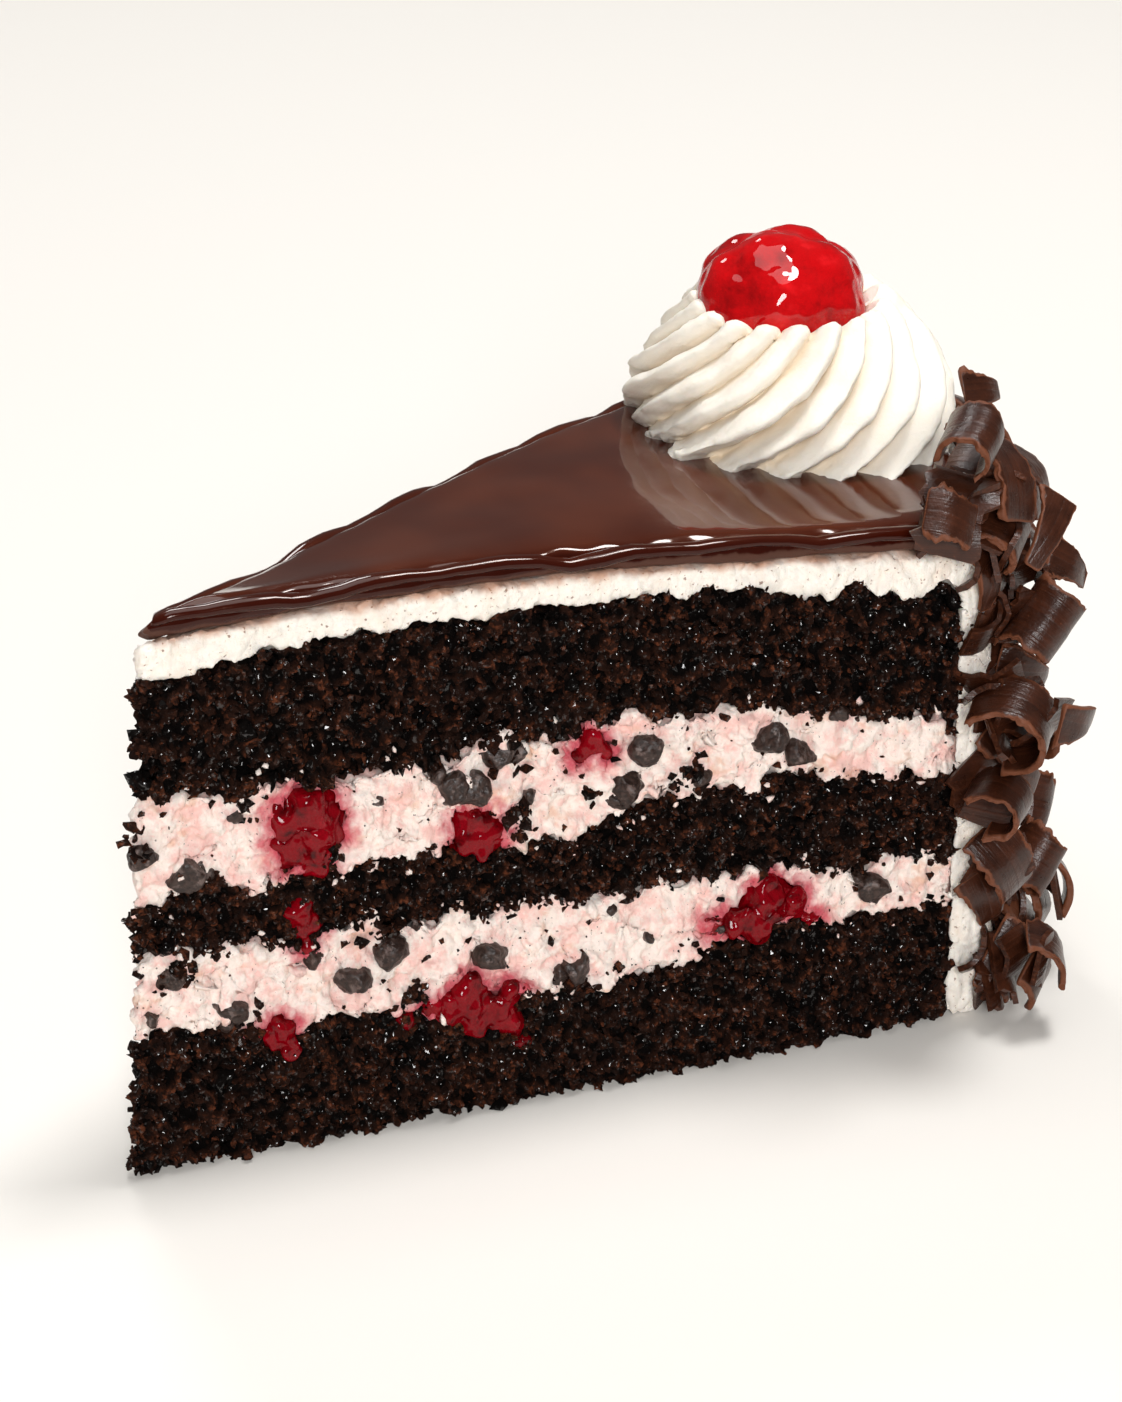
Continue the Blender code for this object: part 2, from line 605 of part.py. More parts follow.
def settle(row, seed, obstacles):
    """Rings of a shaving pushed out from the cake until it is clear of everything there."""
    place_deg, height, turn_deg, radius, width, spin_deg, lift_deg, face_deg = row
    place, lift, face = math.radians(place_deg), math.radians(lift_deg), math.radians(place_deg + face_deg)
    plan_out = Vector((math.cos(place), math.sin(place), 0.0))
    push = plan_out * math.cos(lift) + Vector((0.0, 0.0, math.sin(lift)))
    outward = Vector((math.cos(face) * math.cos(lift), math.sin(face) * math.cos(lift), math.sin(lift)))
    wall = tapered(WALL_RADIUS_FOOT, WALL_RADIUS_TOP, height)
    if lift_deg > STEEP:
        wall -= RIM_INSET
    base = point_shift() + Vector((ARC_CENTRE[0], ARC_CENTRE[1], height)) + plan_out * wall
    bare = strip(turn_deg, radius, width, 0.0, seed)
    padded = strip(turn_deg, radius, width, GAP, seed)
    for step in range(PUSH_STEPS):
        spot = base + push * (PUSH * step)
        grown = stand(padded, spot, outward, spin_deg)
        low = min(point.z for ring in grown for point in ring)
        if low < FLOOR_CLEARANCE:
            spot.z += FLOOR_CLEARANCE - low
            grown = stand(padded, spot, outward, spin_deg)
        tree = tree_of_rings(grown)
        if not any(tree.overlap(other) for other in obstacles):
            break
    return stand(bare, spot, outward, spin_deg), PUSH * step


def make_curls(obstacles):
    """The curls that show from the front, one object each, laid over the clumps."""
    for n, row in enumerate(SHOWN_CURLS):
        rings, _ = settle(row, SEED + n, obstacles)
        obstacles.append(tree_of_rings(rings))
        loft(f"curl_{n + 1:02d}", rings, "curl")


def clump_member(place, height, lift, mates, obstacles, draw, seed):
    """The shaving that lies closest to the wall of several tried, touching the clump's other ones."""
    best = None
    for attempt in range(CLUMP_TRIES):
        turn = draw.choice(CLUMP_TURNS)
        radius = draw.uniform(*CLUMP_RADIUS) * (OPEN_CURL if turn < 130.0 else 1.0)
        width = draw.uniform(*CLUMP_WIDTH)
        spin = draw.uniform(*CLUMP_SPIN)
        spot = (place + draw.uniform(-2.0, 2.0), max(height + draw.uniform(-2.0, 2.0), CLUMP_LOWEST))
        rings, pushed = settle((*spot, turn, radius, width, spin, lift, 0.0), seed + attempt, obstacles)
        tree = tree_of_rings(rings)
        touches = not mates or any(tree.overlap(mate) for mate in mates)
        if touches and (best is None or pushed < best[0]):
            best = (pushed, rings, tree)
    return best


def make_clump(name, place, height, lift, obstacles, draw, seed):
    """A few shavings across one another, joined in one solid. Returns their trees."""
    members, mates = [], []
    for n, (aside, rise) in enumerate(CLUMP_PLACES):
        for pull in CLUMP_PULLS:
            spot = (place + aside * pull, height + rise * pull)
            found = clump_member(*spot, lift, mates, obstacles, draw, seed + CLUMP_TRIES * n)
            if found:
                members.append(found[1])
                mates.append(found[2])
                break
    solids = [loft(name if n == 0 else "member", rings, "curl") for n, rings in enumerate(members)]
    if len(solids) > 1:
        combine(solids[0], solids[1:], "UNION")
    return mates


def make_clumps(obstacles):
    """Curls that cover the rest of the wall and rim, joined in small clumps."""
    draw = random.Random(SEED)
    made = 0
    for row, (height, lift) in enumerate(CLUMP_ROWS):
        for column in range(CLUMP_COLUMNS):
            share = (column + 0.5 + (0.25 if row % 2 else -0.25)) / CLUMP_COLUMNS
            place = mix(CLUMP_FIRST, CLUMP_LAST, share)
            made += 1
            obstacles += make_clump(f"curls_{made:02d}", place, height, lift, obstacles, draw, 100 * made)


def main():
    for thing in list(bpy.data.objects):
        bpy.data.objects.remove(thing)
    draw = random.Random(SEED)
    layers = {}
    below = None
    for name, tops in LAYER_TOPS.items():
        layers[name] = (make_layer(name, below, tops), below, tops)
        below = tops
    for side, rows, word in ((-1, NEAR_CHERRIES, "near"), (1, FAR_CHERRIES, "far")):
        for n, row in enumerate(rows):
            name = f"cherry_piece_{word}_{n + 1}"
            cherry_piece(name, row, side, 0.0)
            for layer, bottom, tops in layers.values():
                v = 0.0 if side < 0 else 1.0
                low = height_at(bottom, row[0] / 100.0, v) if bottom else 0.0
                high = height_at(tops, row[0] / 100.0, v)
                if low < row[1] + row[3] + 1.5 and high > row[1] - row[3] - 1.5:
                    combine(layer, [cherry_piece("hollow", row, side, GAP)], "DIFFERENCE")
    for name in NEAR_CHIPS:
        fuse_chips(*layers[name], draw)
    cake = [layer for layer, _, _ in layers.values()]
    cake += [make_coat(), make_glaze(), make_rosette(), make_cherry()]
    obstacles = [tree_of(thing) for thing in cake]
    make_clumps(obstacles)
    make_curls(obstacles)


main()
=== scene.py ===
"""A slice of black forest cake: crumb, cream, cherries, glaze, a piped rosette and chocolate curls."""

import logging
import math
from contextlib import contextmanager
from dataclasses import dataclass
from enum import Enum
from typing import Any, Iterator, Sequence

import bpy
import numpy as np
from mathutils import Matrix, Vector, noise
from mathutils.bvhtree import BVHTree
from mathutils.kdtree import KDTree


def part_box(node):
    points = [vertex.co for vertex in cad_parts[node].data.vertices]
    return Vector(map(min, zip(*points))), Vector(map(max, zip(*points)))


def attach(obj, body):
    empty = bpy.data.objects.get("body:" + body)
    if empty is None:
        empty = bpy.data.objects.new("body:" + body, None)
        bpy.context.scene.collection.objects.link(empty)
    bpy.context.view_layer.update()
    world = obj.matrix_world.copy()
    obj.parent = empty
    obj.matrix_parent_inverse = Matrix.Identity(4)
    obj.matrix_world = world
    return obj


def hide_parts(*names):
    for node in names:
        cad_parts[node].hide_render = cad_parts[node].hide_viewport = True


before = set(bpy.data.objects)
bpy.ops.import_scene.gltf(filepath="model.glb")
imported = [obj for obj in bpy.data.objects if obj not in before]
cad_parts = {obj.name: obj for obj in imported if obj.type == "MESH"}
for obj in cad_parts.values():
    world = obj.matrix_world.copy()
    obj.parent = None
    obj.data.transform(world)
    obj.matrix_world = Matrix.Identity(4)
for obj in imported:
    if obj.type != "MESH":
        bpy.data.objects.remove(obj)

MM = 0.001
BODY = "root"
POINT = np.array((-65.6, -3.0, 0.0)) * MM  # where the two cut faces meet, at the base
HALF_WEDGE = math.radians(15.75)  # between a cut face and the middle line of the slice
CUT_LEAN = 1.2 / 67.0  # how far a cut face leans in for each unit of height
DOWN = Vector((0.0, 0.0, -1.0))

log = logging.getLogger("cake slice")

Colour = tuple[float, float, float]
Triples = tuple[tuple[float, float, float], ...]
Thing = bpy.types.Object


class Side(Enum):
    """The two cut faces of the slice."""

    NEAR = -1
    FAR = 1

    @property
    def out(self) -> np.ndarray:
        """The direction that the cut face looks in."""
        return np.array((-math.sin(HALF_WEDGE), self.value * math.cos(HALF_WEDGE), 0.0))

    @property
    def along(self) -> np.ndarray:
        """The direction from the slice's point to its back, along the cut face."""
        return np.array((math.cos(HALF_WEDGE), self.value * math.sin(HALF_WEDGE), 0.0))

    def spot(self, reach_mm: float, height_mm: float, sink_mm: float) -> np.ndarray:
        """A place under the cut face.

        Args:
            reach_mm: how far from the slice's point.
            height_mm: how high.
            sink_mm: how deep under the face.

        Returns:
            The place, in metres.
        """
        flat = self.along * reach_mm - self.out * (CUT_LEAN * height_mm + sink_mm)
        return POINT + (flat + np.array((0.0, 0.0, height_mm))) * MM

    def proud(self, points: np.ndarray) -> np.ndarray:
        """How far points stand out of the cut face, in metres.

        Args:
            points: an array of points, one a row.

        Returns:
            The distance of each, negative inside the cake.
        """
        return (points - POINT) @ self.out + CUT_LEAN * points[:, 2]


@dataclass(frozen=True)
class Spread:
    """How unevenly the layers were spread: a smooth field that lifts and lowers all that lies in the cake."""

    waves: int = 36
    longest_mm: float = 8.0
    shortest_mm: float = 2.2
    height_mm: float = 0.75
    foot_fade_mm: float = 6.0
    top_mm: float = 66.0
    top_fade_mm: float = 7.0
    tip_mm: float = 1.8
    tip_reach_mm: float = 16.0
    seed: int = 4

    def settle(self, points: np.ndarray) -> np.ndarray:
        """Points moved with the layers that they lie in.

        Args:
            points: an array of points, one a row.

        Returns:
            The moved points.
        """
        draw = np.random.default_rng(self.seed)
        total, power = np.zeros(len(points)), 0.0
        for size in np.geomspace(self.shortest_mm, self.longest_mm, self.waves):
            way = draw.normal(size=3)
            share = (size / self.longest_mm) ** 0.6
            turns = points @ way / np.linalg.norm(way) * 2 * math.pi / (size * MM)
            total += share * np.sin(turns + draw.uniform(0.0, 6.3))
            power += share**2 / 2
        height = points[:, 2] / MM
        fade = np.clip(height / self.foot_fade_mm, 0.0, 1.0)
        fade = fade * np.clip((self.top_mm - height) / self.top_fade_mm, 0.0, 1.0)
        moved = points.copy()
        moved[:, 2] += total / math.sqrt(power) * fade * self.height_mm * MM
        from_tip = (points[:, 0] - POINT[0]) / MM
        moved[:, 0] -= self.tip_mm * np.clip(1.0 - from_tip / self.tip_reach_mm, 0.0, 1.0) ** 2 * MM
        return moved


SPREAD = Spread()


class Wave:
    """A value or colour on its way through a material, with Python's arithmetic."""

    def __init__(self, paint: "Paint", socket: bpy.types.NodeSocket) -> None:
        """Wraps one output socket of a material's nodes."""
        self.paint = paint
        self.socket = socket

    def _sum(self, operation: str, first: Any, second: Any) -> "Wave":
        """One Math node on two values."""
        return self.paint.node("ShaderNodeMath", {"operation": operation}, {0: first, 1: second})

    def __add__(self, other: Any) -> "Wave":
        """self + other."""
        return self._sum("ADD", self, other)

    def __radd__(self, other: Any) -> "Wave":
        """other + self."""
        return self._sum("ADD", other, self)

    def __sub__(self, other: Any) -> "Wave":
        """self - other."""
        return self._sum("SUBTRACT", self, other)

    def __rsub__(self, other: Any) -> "Wave":
        """other - self."""
        return self._sum("SUBTRACT", other, self)

    def __mul__(self, other: Any) -> "Wave":
        """self * other."""
        return self._sum("MULTIPLY", self, other)

    def __rmul__(self, other: Any) -> "Wave":
        """other * self."""
        return self._sum("MULTIPLY", other, self)

    def between(self, low: float, high: float) -> "Wave":
        """A soft step: 0 below low and 1 above high, or the other way round if low is more."""
        settings = {"interpolation_type": "SMOOTHSTEP"}
        ends = {"Value": self, "From Min": min(low, high), "From Max": max(low, high)}
        step = self.paint.node("ShaderNodeMapRange", settings, ends)
        return step if low < high else 1.0 - step


class Paint:
    """One material's nodes, on the piece's own object coordinates."""

    def __init__(self, name: str) -> None:
        """Makes the material with its one Principled shader."""
        self.material = bpy.data.materials.new(name)
        self.material.use_nodes = True
        self.tree = self.material.node_tree
        self.shader = self.tree.nodes["Principled BSDF"]
        self.place = self.node("ShaderNodeTexCoord", {}, {}, "Object")

    def node(self, kind: str, settings: dict[str, Any], inputs: dict[Any, Any], output: Any = 0) -> Wave:
        """Adds a node, with its settings first and then its sockets.

        Args:
            kind: the node's type.
            settings: properties of the node.
            inputs: socket name or number to a value or a Wave.
            output: name or number of the output that is wanted.

        Returns:
            That output.
        """
        node = self.tree.nodes.new(kind)
        for key, value in settings.items():
            setattr(node, key, value)
        for key, value in inputs.items():
            self.feed(node.inputs[key], value)
        return Wave(self, node.outputs[output])

    def feed(self, socket: bpy.types.NodeSocket, value: Any) -> None:
        """Links a Wave to a socket, or sets the socket's own value."""
        if isinstance(value, Wave):
            self.tree.links.new(value.socket, socket)
        elif isinstance(value, tuple) and len(value) == 3 and socket.type == "RGBA":
            socket.default_value = (*value, 1.0)
        else:
            socket.default_value = value

    def set(self, **sockets: Any) -> None:
        """Feeds the shader's sockets, named with _ for a space."""
        for key, value in sockets.items():
            self.feed(self.shader.inputs[key.replace("_", " ")], value)

    def stretched(self, scale: tuple[float, float, float]) -> Wave:
        """The object coordinates, stretched."""
        return self.node("ShaderNodeMapping", {}, {"Vector": self.place, "Scale": scale})

    def clouds(self, size_mm: float, detail: float = 2.0, rough: float = 0.5, at: Any = None) -> Wave:
        """Soft noise of a feature size, between 0 and 1."""
        sockets = {"Vector": at or self.place, "Scale": 1.0 / (size_mm * MM)}
        return self.node("ShaderNodeTexNoise", {}, {**sockets, "Detail": detail, "Roughness": rough})

    def lines(self, along: Wave, per_unit: float) -> Wave:
        """Noise that changes along one number alone, between 0 and 1."""
        sockets = {"W": along, "Scale": per_unit, "Detail": 3.0, "Roughness": 0.6}
        return self.node("ShaderNodeTexNoise", {"noise_dimensions": "1D"}, sockets)

    def attribute(self, name: str) -> Wave:
        """A number that the piece's mesh carries at each vertex."""
        return self.node("ShaderNodeAttribute", {"attribute_name": name}, {}, "Fac")

    def blend(self, under: Any, over: Any, share: Any) -> Wave:
        """One colour laid over another.

        Args:
            under: the lower colour.
            over: the upper colour.
            share: how much of the upper colour there is, 0 to 1.

        Returns:
            The mixed colour.
        """
        return self.node("ShaderNodeMix", {"data_type": "RGBA"}, {0: share, 6: under, 7: over}, 2)

    def rough_up(self, height: Wave, depth_mm: float, strength: float = 1.0, over: Any = None) -> Wave:
        """A bumped normal."""
        sockets = {"Strength": strength, "Distance": depth_mm * MM, "Height": height}
        if over is not None:
            sockets["Normal"] = over
        return self.node("ShaderNodeBump", {}, sockets, "Normal")


@dataclass(frozen=True)
class SpongeFinish:
    """Moist dark chocolate crumb: dark grains, painted shade that turns its holes black, redder tops that are
    partly grain colour and partly painted highlight, and small wet glints.
    """

    # Painted shade: near-black for the pits between the crumb's grains.
    hollow: Colour = (0.0022, 0.0010, 0.0007)
    crumb: Colour = (0.017, 0.0060, 0.0034)
    # Partly grain colour, partly painted highlight: lighter red for the raised crumb tops.
    ruddy_lit_top: Colour = (0.130, 0.036, 0.015)
    # Painted highlight: pale flecks on raised crumb.
    pale: Colour = (0.240, 0.110, 0.070)

    def make(self) -> bpy.types.Material:
        """The material."""
        paint = Paint("chocolate_sponge")
        grain = paint.clouds(0.8, 3.0, 0.65)
        patch = paint.clouds(6.0, 2.0)
        fleck = paint.clouds(0.75, 3.0, 0.6, paint.stretched((1.0, 1.0, 1.3)))
        lift = paint.attribute("lift") + (grain - 0.5) * 1.1
        # Painted shade: the deeper the relief sank a spot, the nearer it is to black.
        base = paint.blend(self.hollow, self.crumb, lift.between(-0.75, -0.05))
        # Painted highlight on raised crumb, mixed with random redder patches of the grain's own colour.
        warm = (lift + patch * 0.9).between(0.30, 1.10) * fleck.between(0.44, 0.66)
        base = paint.blend(base, self.ruddy_lit_top, warm * 0.9)
        # Painted highlight: pale flecks only where the relief is raised.
        base = paint.blend(base, self.pale, fleck.between(0.68, 0.76) * lift.between(-0.2, 0.5) * 0.6)
        fine = paint.clouds(0.30, 3.0, 0.65)
        wet = paint.clouds(0.55, 2.0, at=paint.stretched((1.0, 1.2, 1.0))).between(0.54, 0.64)
        paint.set(Base_Color=base, Roughness=0.85, Specular_IOR_Level=0.08)
        paint.set(Coat_Weight=wet, Coat_Roughness=0.12, Normal=paint.rough_up(fine, 0.34))
        return paint.material


@dataclass(frozen=True)
class CreamFinish:
    """Whipped cream, warm white, deeper in random soft patches, with painted shade in the creases between its
    ridges.
    """

    light: Colour = (0.860, 0.800, 0.705)
    # Darker cream: painted shade in the creases, and random tone in soft patches.
    deep: Colour = (0.760, 0.610, 0.430)

    def make(self) -> bpy.types.Material:
        """The material."""
        paint = Paint("whipped_cream")
        soft = paint.clouds(5.0, 3.0)
        grain = paint.clouds(0.55, 4.0, 0.65)
        # Painted shade: darker in the creases between the ridges.
        base = paint.blend(self.light, self.deep, paint.attribute("crease").between(0.35, 1.0) * 0.8)
        base = paint.blend(base, self.deep, soft.between(0.5, 0.8) * 0.25)
        paint.set(Base_Color=base, Roughness=0.50 + 0.16 * grain)
        paint.set(Subsurface_Weight=0.15, Subsurface_Radius=(1.0, 0.7, 0.45), Subsurface_Scale=1.5 * MM)
        paint.set(Normal=paint.rough_up(grain, 0.10))
        return paint.material


@dataclass(frozen=True)
class CoatFinish:
    """Spread cream: granular on the cut, stroked by the spatula on the wall, brown just under the glaze."""

    light: Colour = (0.945, 0.880, 0.800)
    deep: Colour = (0.830, 0.660, 0.540)
    speck: Colour = (0.180, 0.075, 0.045)
    brown: Colour = (0.480, 0.190, 0.085)

    def make(self) -> bpy.types.Material:
        """The material."""
        paint = Paint("spread_cream")
        grain = paint.clouds(0.6, 4.0, 0.7)
        soft = paint.clouds(3.0, 3.0)
        strokes = paint.clouds(1.6, 3.0, 0.6, paint.stretched((1.0, 1.0, 0.12)))
        base = paint.blend(self.light, self.deep, soft.between(0.45, 0.8) * 0.55)
        base = paint.blend(base, self.deep, grain.between(0.52, 0.74) * 0.7)
        base = paint.blend(base, self.speck, paint.clouds(0.6, 2.0).between(0.66, 0.72) * 0.75)
        bleed = paint.attribute("bleed") + (soft - 0.5) * 0.8
        base = paint.blend(base, self.brown, bleed.between(0.42, 0.95) * 0.75)
        paint.set(Base_Color=base, Roughness=0.50 + 0.25 * grain)
        paint.set(Subsurface_Weight=0.12, Subsurface_Radius=(1.0, 0.7, 0.45), Subsurface_Scale=1.2 * MM)
        paint.set(Normal=paint.rough_up(grain, 0.22, 0.8, paint.rough_up(strokes, 0.35, 0.6)))
        return paint.material


@dataclass(frozen=True)
class FillingFinish:
    """Cherry cream: pink with pale swirls, stained red round the fruit, browned and flecked by crumb."""

    pale: Colour = (0.975, 0.840, 0.765)
    pink: Colour = (0.930, 0.590, 0.530)
    peach: Colour = (0.800, 0.450, 0.300)
    stain: Colour = (0.560, 0.020, 0.060)
    fleck: Colour = (0.045, 0.016, 0.009)

    def make(self) -> bpy.types.Material:
        """The material."""
        paint = Paint("cherry_cream_filling")
        swirl = paint.clouds(3.0, 4.0, 0.65)
        grain = paint.clouds(0.6, 4.0, 0.7)
        base = paint.blend(self.pink, self.pale, swirl.between(0.36, 0.58))
        base = paint.blend(base, self.pink, grain.between(0.54, 0.74) * 0.35)
        browned = paint.clouds(4.5, 3.0, 0.6, paint.stretched((1.0, 1.0, 1.4))).between(0.56, 0.72)
        base = paint.blend(base, self.peach, browned * 0.7)
        juice = paint.attribute("juice") + (paint.clouds(1.8, 3.0, 0.6) - 0.5) * 1.0
        base = paint.blend(base, self.stain, juice.between(0.30, 1.0) * 0.9)
        base = paint.blend(base, self.fleck, paint.clouds(0.5, 2.0).between(0.70, 0.74) * 0.85)
        paint.set(Base_Color=base, Roughness=0.42 + 0.25 * grain)
        paint.set(Subsurface_Weight=0.12, Subsurface_Radius=(1.0, 0.5, 0.4), Subsurface_Scale=1.2 * MM)
        paint.set(Normal=paint.rough_up(grain, 0.28))
        return paint.material


@dataclass(frozen=True)
class GlazeFinish:
    """Poured chocolate: mirror bright on top, darker at the rim by painted shade, paler and duller at its
    foot.
    """

    deep: Colour = (0.050, 0.0085, 0.0028)
    warm: Colour = (0.078, 0.0155, 0.0052)
    # Painted shade: very dark red for the rim's upright faces, standing in for the dark they reflect.
    front: Colour = (0.026, 0.0024, 0.0010)
    foot: Colour = (0.085, 0.0380, 0.0270)

    def make(self) -> bpy.types.Material:
        """The material."""
        paint = Paint("chocolate_glaze")
        base = paint.blend(self.deep, self.warm, paint.clouds(14.0, 2.0).between(0.3, 0.7))
        above = paint.attribute("foot") + (paint.clouds(2.0, 2.0) - 0.5) * 0.9
        low = above.between(1.30, 0.90)
        # Painted shade on the upright faces near the rim.
        base = paint.blend(base, self.front, paint.attribute("front") * 0.9)
        base = paint.blend(base, self.foot, low * 0.85)
        pits = paint.clouds(1.2, 2.0)
        clear = (0.9 - 0.75 * low) * (1.0 - 0.6 * paint.attribute("front"))
        paint.set(Base_Color=base, Roughness=0.16 + 0.30 * low, Coat_Weight=clear)
        paint.set(Coat_Roughness=0.04, Coat_IOR=1.5, Specular_IOR_Level=0.12, Specular_Tint=(1.0, 0.62, 0.46))
        paint.set(Normal=paint.rough_up(pits, 0.05, 0.4, paint.rough_up(paint.clouds(9.0, 1.0), 0.4, 0.2)))
        return paint.material


@dataclass(frozen=True)
class CherryFinish:
    """Candied cherry: clear deep red under syrup."""

    name: str = "candied_cherry"
    red: Colour = (0.480, 0.0016, 0.0034)
    dark: Colour = (0.280, 0.0008, 0.0020)
    glow: Colour = (0.780, 0.0110, 0.0150)
    patch_mm: float = 4.5
    syrup: float = 0.75

    def make(self) -> bpy.types.Material:
        """The material."""
        paint = Paint(self.name)
        patch = paint.clouds(self.patch_mm, 3.0, 0.6)
        base = paint.blend(self.dark, self.red, patch.between(0.28, 0.55))
        base = paint.blend(base, self.glow, patch.between(0.58, 0.8) * 0.7)
        wrinkle = paint.clouds(self.patch_mm * 0.30, 2.0)
        paint.set(Base_Color=base, Roughness=0.40, Specular_IOR_Level=0.0)
        paint.set(Coat_Weight=self.syrup, Coat_Roughness=0.02)
        paint.set(Normal=paint.rough_up(wrinkle, 0.36, 1.0))
        return paint.material


@dataclass(frozen=True)
class CurlFinish:
    """Shaved chocolate: a satin face with fine scrape lines, paler and granular where it broke."""

    dark: Colour = (0.024, 0.0068, 0.0032)
    mid: Colour = (0.060, 0.0165, 0.0070)
    broken: Colour = (0.170, 0.0500, 0.0190)

    def make(self) -> bpy.types.Material:
        """The material."""
        paint = Paint("chocolate_curl")
        bloom = paint.clouds(2.6, 3.0)
        grain = paint.clouds(0.45, 3.0, 0.6)
        lines = paint.lines(paint.attribute("across"), 1.6)
        base = paint.blend(self.dark, self.mid, bloom.between(0.3, 0.7) * 0.6 + lines.between(0.4, 0.7) * 0.4)
        edge = (paint.attribute("edge") + (grain - 0.5) * 0.8).between(0.45, 0.95)
        base = paint.blend(base, self.broken, edge * 0.8)
        base = paint.blend(base, self.broken, grain.between(0.66, 0.76) * 0.5)
        paint.set(Base_Color=base, Roughness=0.22 + 0.16 * bloom + 0.30 * edge, Specular_IOR_Level=0.34)
        paint.set(Normal=paint.rough_up(grain, 0.10, 0.6, paint.rough_up(lines, 0.12, 0.8)))
        return paint.material


@dataclass(frozen=True)
class ChipFinish:
    """Broken chocolate of the chips: granular with a low shine, and a film of cream here and there."""

    name: str = "chocolate_chip"
    dark: Colour = (0.016, 0.0080, 0.0060)
    pale: Colour = (0.050, 0.0270, 0.0205)
    film: Colour = (0.600, 0.440, 0.400)
    filmed: float = 0.16

    def make(self) -> bpy.types.Material:
        """The material."""
        paint = Paint(self.name)
        grain = paint.clouds(0.5, 3.0, 0.6)
        base = paint.blend(self.dark, self.pale, grain.between(0.35, 0.7))
        cream = paint.clouds(1.5, 3.0, 0.6).between(0.56, 0.66)
        base = paint.blend(base, self.film, cream * self.filmed)
        paint.set(Base_Color=base, Roughness=0.20 + 0.3 * grain, Specular_IOR_Level=0.36)
        paint.set(Normal=paint.rough_up(grain, 0.14))
        return paint.material


def only(thing: Thing) -> Thing:
    """Selects one object alone and makes it active."""
    bpy.ops.object.select_all(action="DESELECT")
    thing.select_set(True)
    bpy.context.view_layer.objects.active = thing
    return thing


@contextmanager
def editing(thing: Thing) -> Iterator[None]:
    """Goes into edit mode on one object alone, and out of it at the end."""
    only(thing)
    bpy.ops.object.mode_set(mode="EDIT")
    yield
    bpy.ops.object.mode_set(mode="OBJECT")


def alter(thing: Thing, kind: str, **settings: Any) -> Thing:
    """Adds one modifier and applies it.

    Args:
        thing: the object.
        kind: the modifier's type.
        settings: its properties.

    Returns:
        The same object.
    """
    only(thing)
    modifier = thing.modifiers.new(kind.title(), kind)
    for key, value in settings.items():
        setattr(modifier, key, value)
    bpy.ops.object.modifier_apply(modifier=modifier.name)
    return thing


def corners(thing: Thing) -> np.ndarray:
    """The vertices of an object's mesh, one a row."""
    flat = np.empty(len(thing.data.vertices) * 3)
    thing.data.vertices.foreach_get("co", flat)
    return flat.reshape(-1, 3)


def move_corners(thing: Thing, points: np.ndarray) -> None:
    """Puts an object's vertices at new places."""
    thing.data.vertices.foreach_set("co", points.ravel())
    thing.data.update()


def corner_normals(thing: Thing) -> np.ndarray:
    """The normals at an object's vertices, one a row."""
    flat = np.empty(len(thing.data.vertices) * 3)
    thing.data.vertices.foreach_get("normal", flat)
    return flat.reshape(-1, 3)


def face_places(thing: Thing) -> tuple[np.ndarray, np.ndarray]:
    """The middles and the normals of an object's faces."""
    polygons = thing.data.polygons
    middles, normals = np.empty(len(polygons) * 3), np.empty(len(polygons) * 3)
    polygons.foreach_get("center", middles)
    polygons.foreach_get("normal", normals)
    return middles.reshape(-1, 3), normals.reshape(-1, 3)


def made_of(name: str, points: np.ndarray, faces: np.ndarray) -> Thing:
    """Makes an object from its vertices and faces.

    Args:
        name: its name.
        points: its vertices, one a row.
        faces: the numbers of each face's vertices, one face a row.

    Returns:
        The object.
    """
    mesh = bpy.data.meshes.new(name)
    mesh.from_pydata(points.tolist(), [], faces.tolist())
    thing = bpy.data.objects.new(name, mesh)
    bpy.context.scene.collection.objects.link(thing)
    return thing


def ball(name: str, levels: int, radius: float) -> Thing:
    """Models a ball about the origin, with its faces divided that many times."""
    bpy.ops.object.select_all(action="DESELECT")
    bpy.ops.mesh.primitive_ico_sphere_add(subdivisions=levels, radius=radius)
    thing = bpy.context.object
    thing.name = thing.data.name = name
    return thing


def crease_sharp(thing: Thing, join_deg: float, sharp_deg: float, crease: float) -> None:
    """Joins a piece's triangles in pairs and creases its sharp edges.

    Args:
        thing: the piece.
        join_deg: the greatest angle between two triangles that are joined.
        sharp_deg: the angle from which an edge counts as sharp.
        crease: how firmly such an edge holds when the piece is smoothed, 0 to 1.
    """
    with editing(thing):
        bpy.ops.mesh.select_all(action="SELECT")
        bpy.ops.mesh.tris_convert_to_quads(face_threshold=math.radians(join_deg), shape_threshold=math.pi)
        bpy.ops.mesh.select_mode(type="EDGE")
        bpy.ops.mesh.select_all(action="DESELECT")
        bpy.ops.mesh.edges_select_sharp(sharpness=math.radians(sharp_deg))
        bpy.ops.transform.edge_crease(value=crease)


@dataclass(frozen=True)
class Relief:
    """One layer of relief that a surface is given: a pattern, its size, its depth and its level at rest."""

    pattern: str
    size_mm: float
    depth_mm: float
    level: float = 0.5
    extra: tuple[tuple[str, Any], ...] = ()

    def press(self, thing: Thing, group: str = "") -> Thing:
        """Displaces an object along its normals.

        Args:
            thing: the object.
            group: a vertex group that fades the relief, or none.

        Returns:
            The same object.
        """
        texture = bpy.data.textures.new(f"{self.pattern.lower()} {self.size_mm} mm", self.pattern)
        texture.noise_scale = self.size_mm * MM
        for key, value in self.extra:
            setattr(texture, key, value)
        settings = {"strength": self.depth_mm * MM, "mid_level": self.level, "texture_coords": "LOCAL"}
        return alter(thing, "DISPLACE", texture=texture, vertex_group=group, **settings)


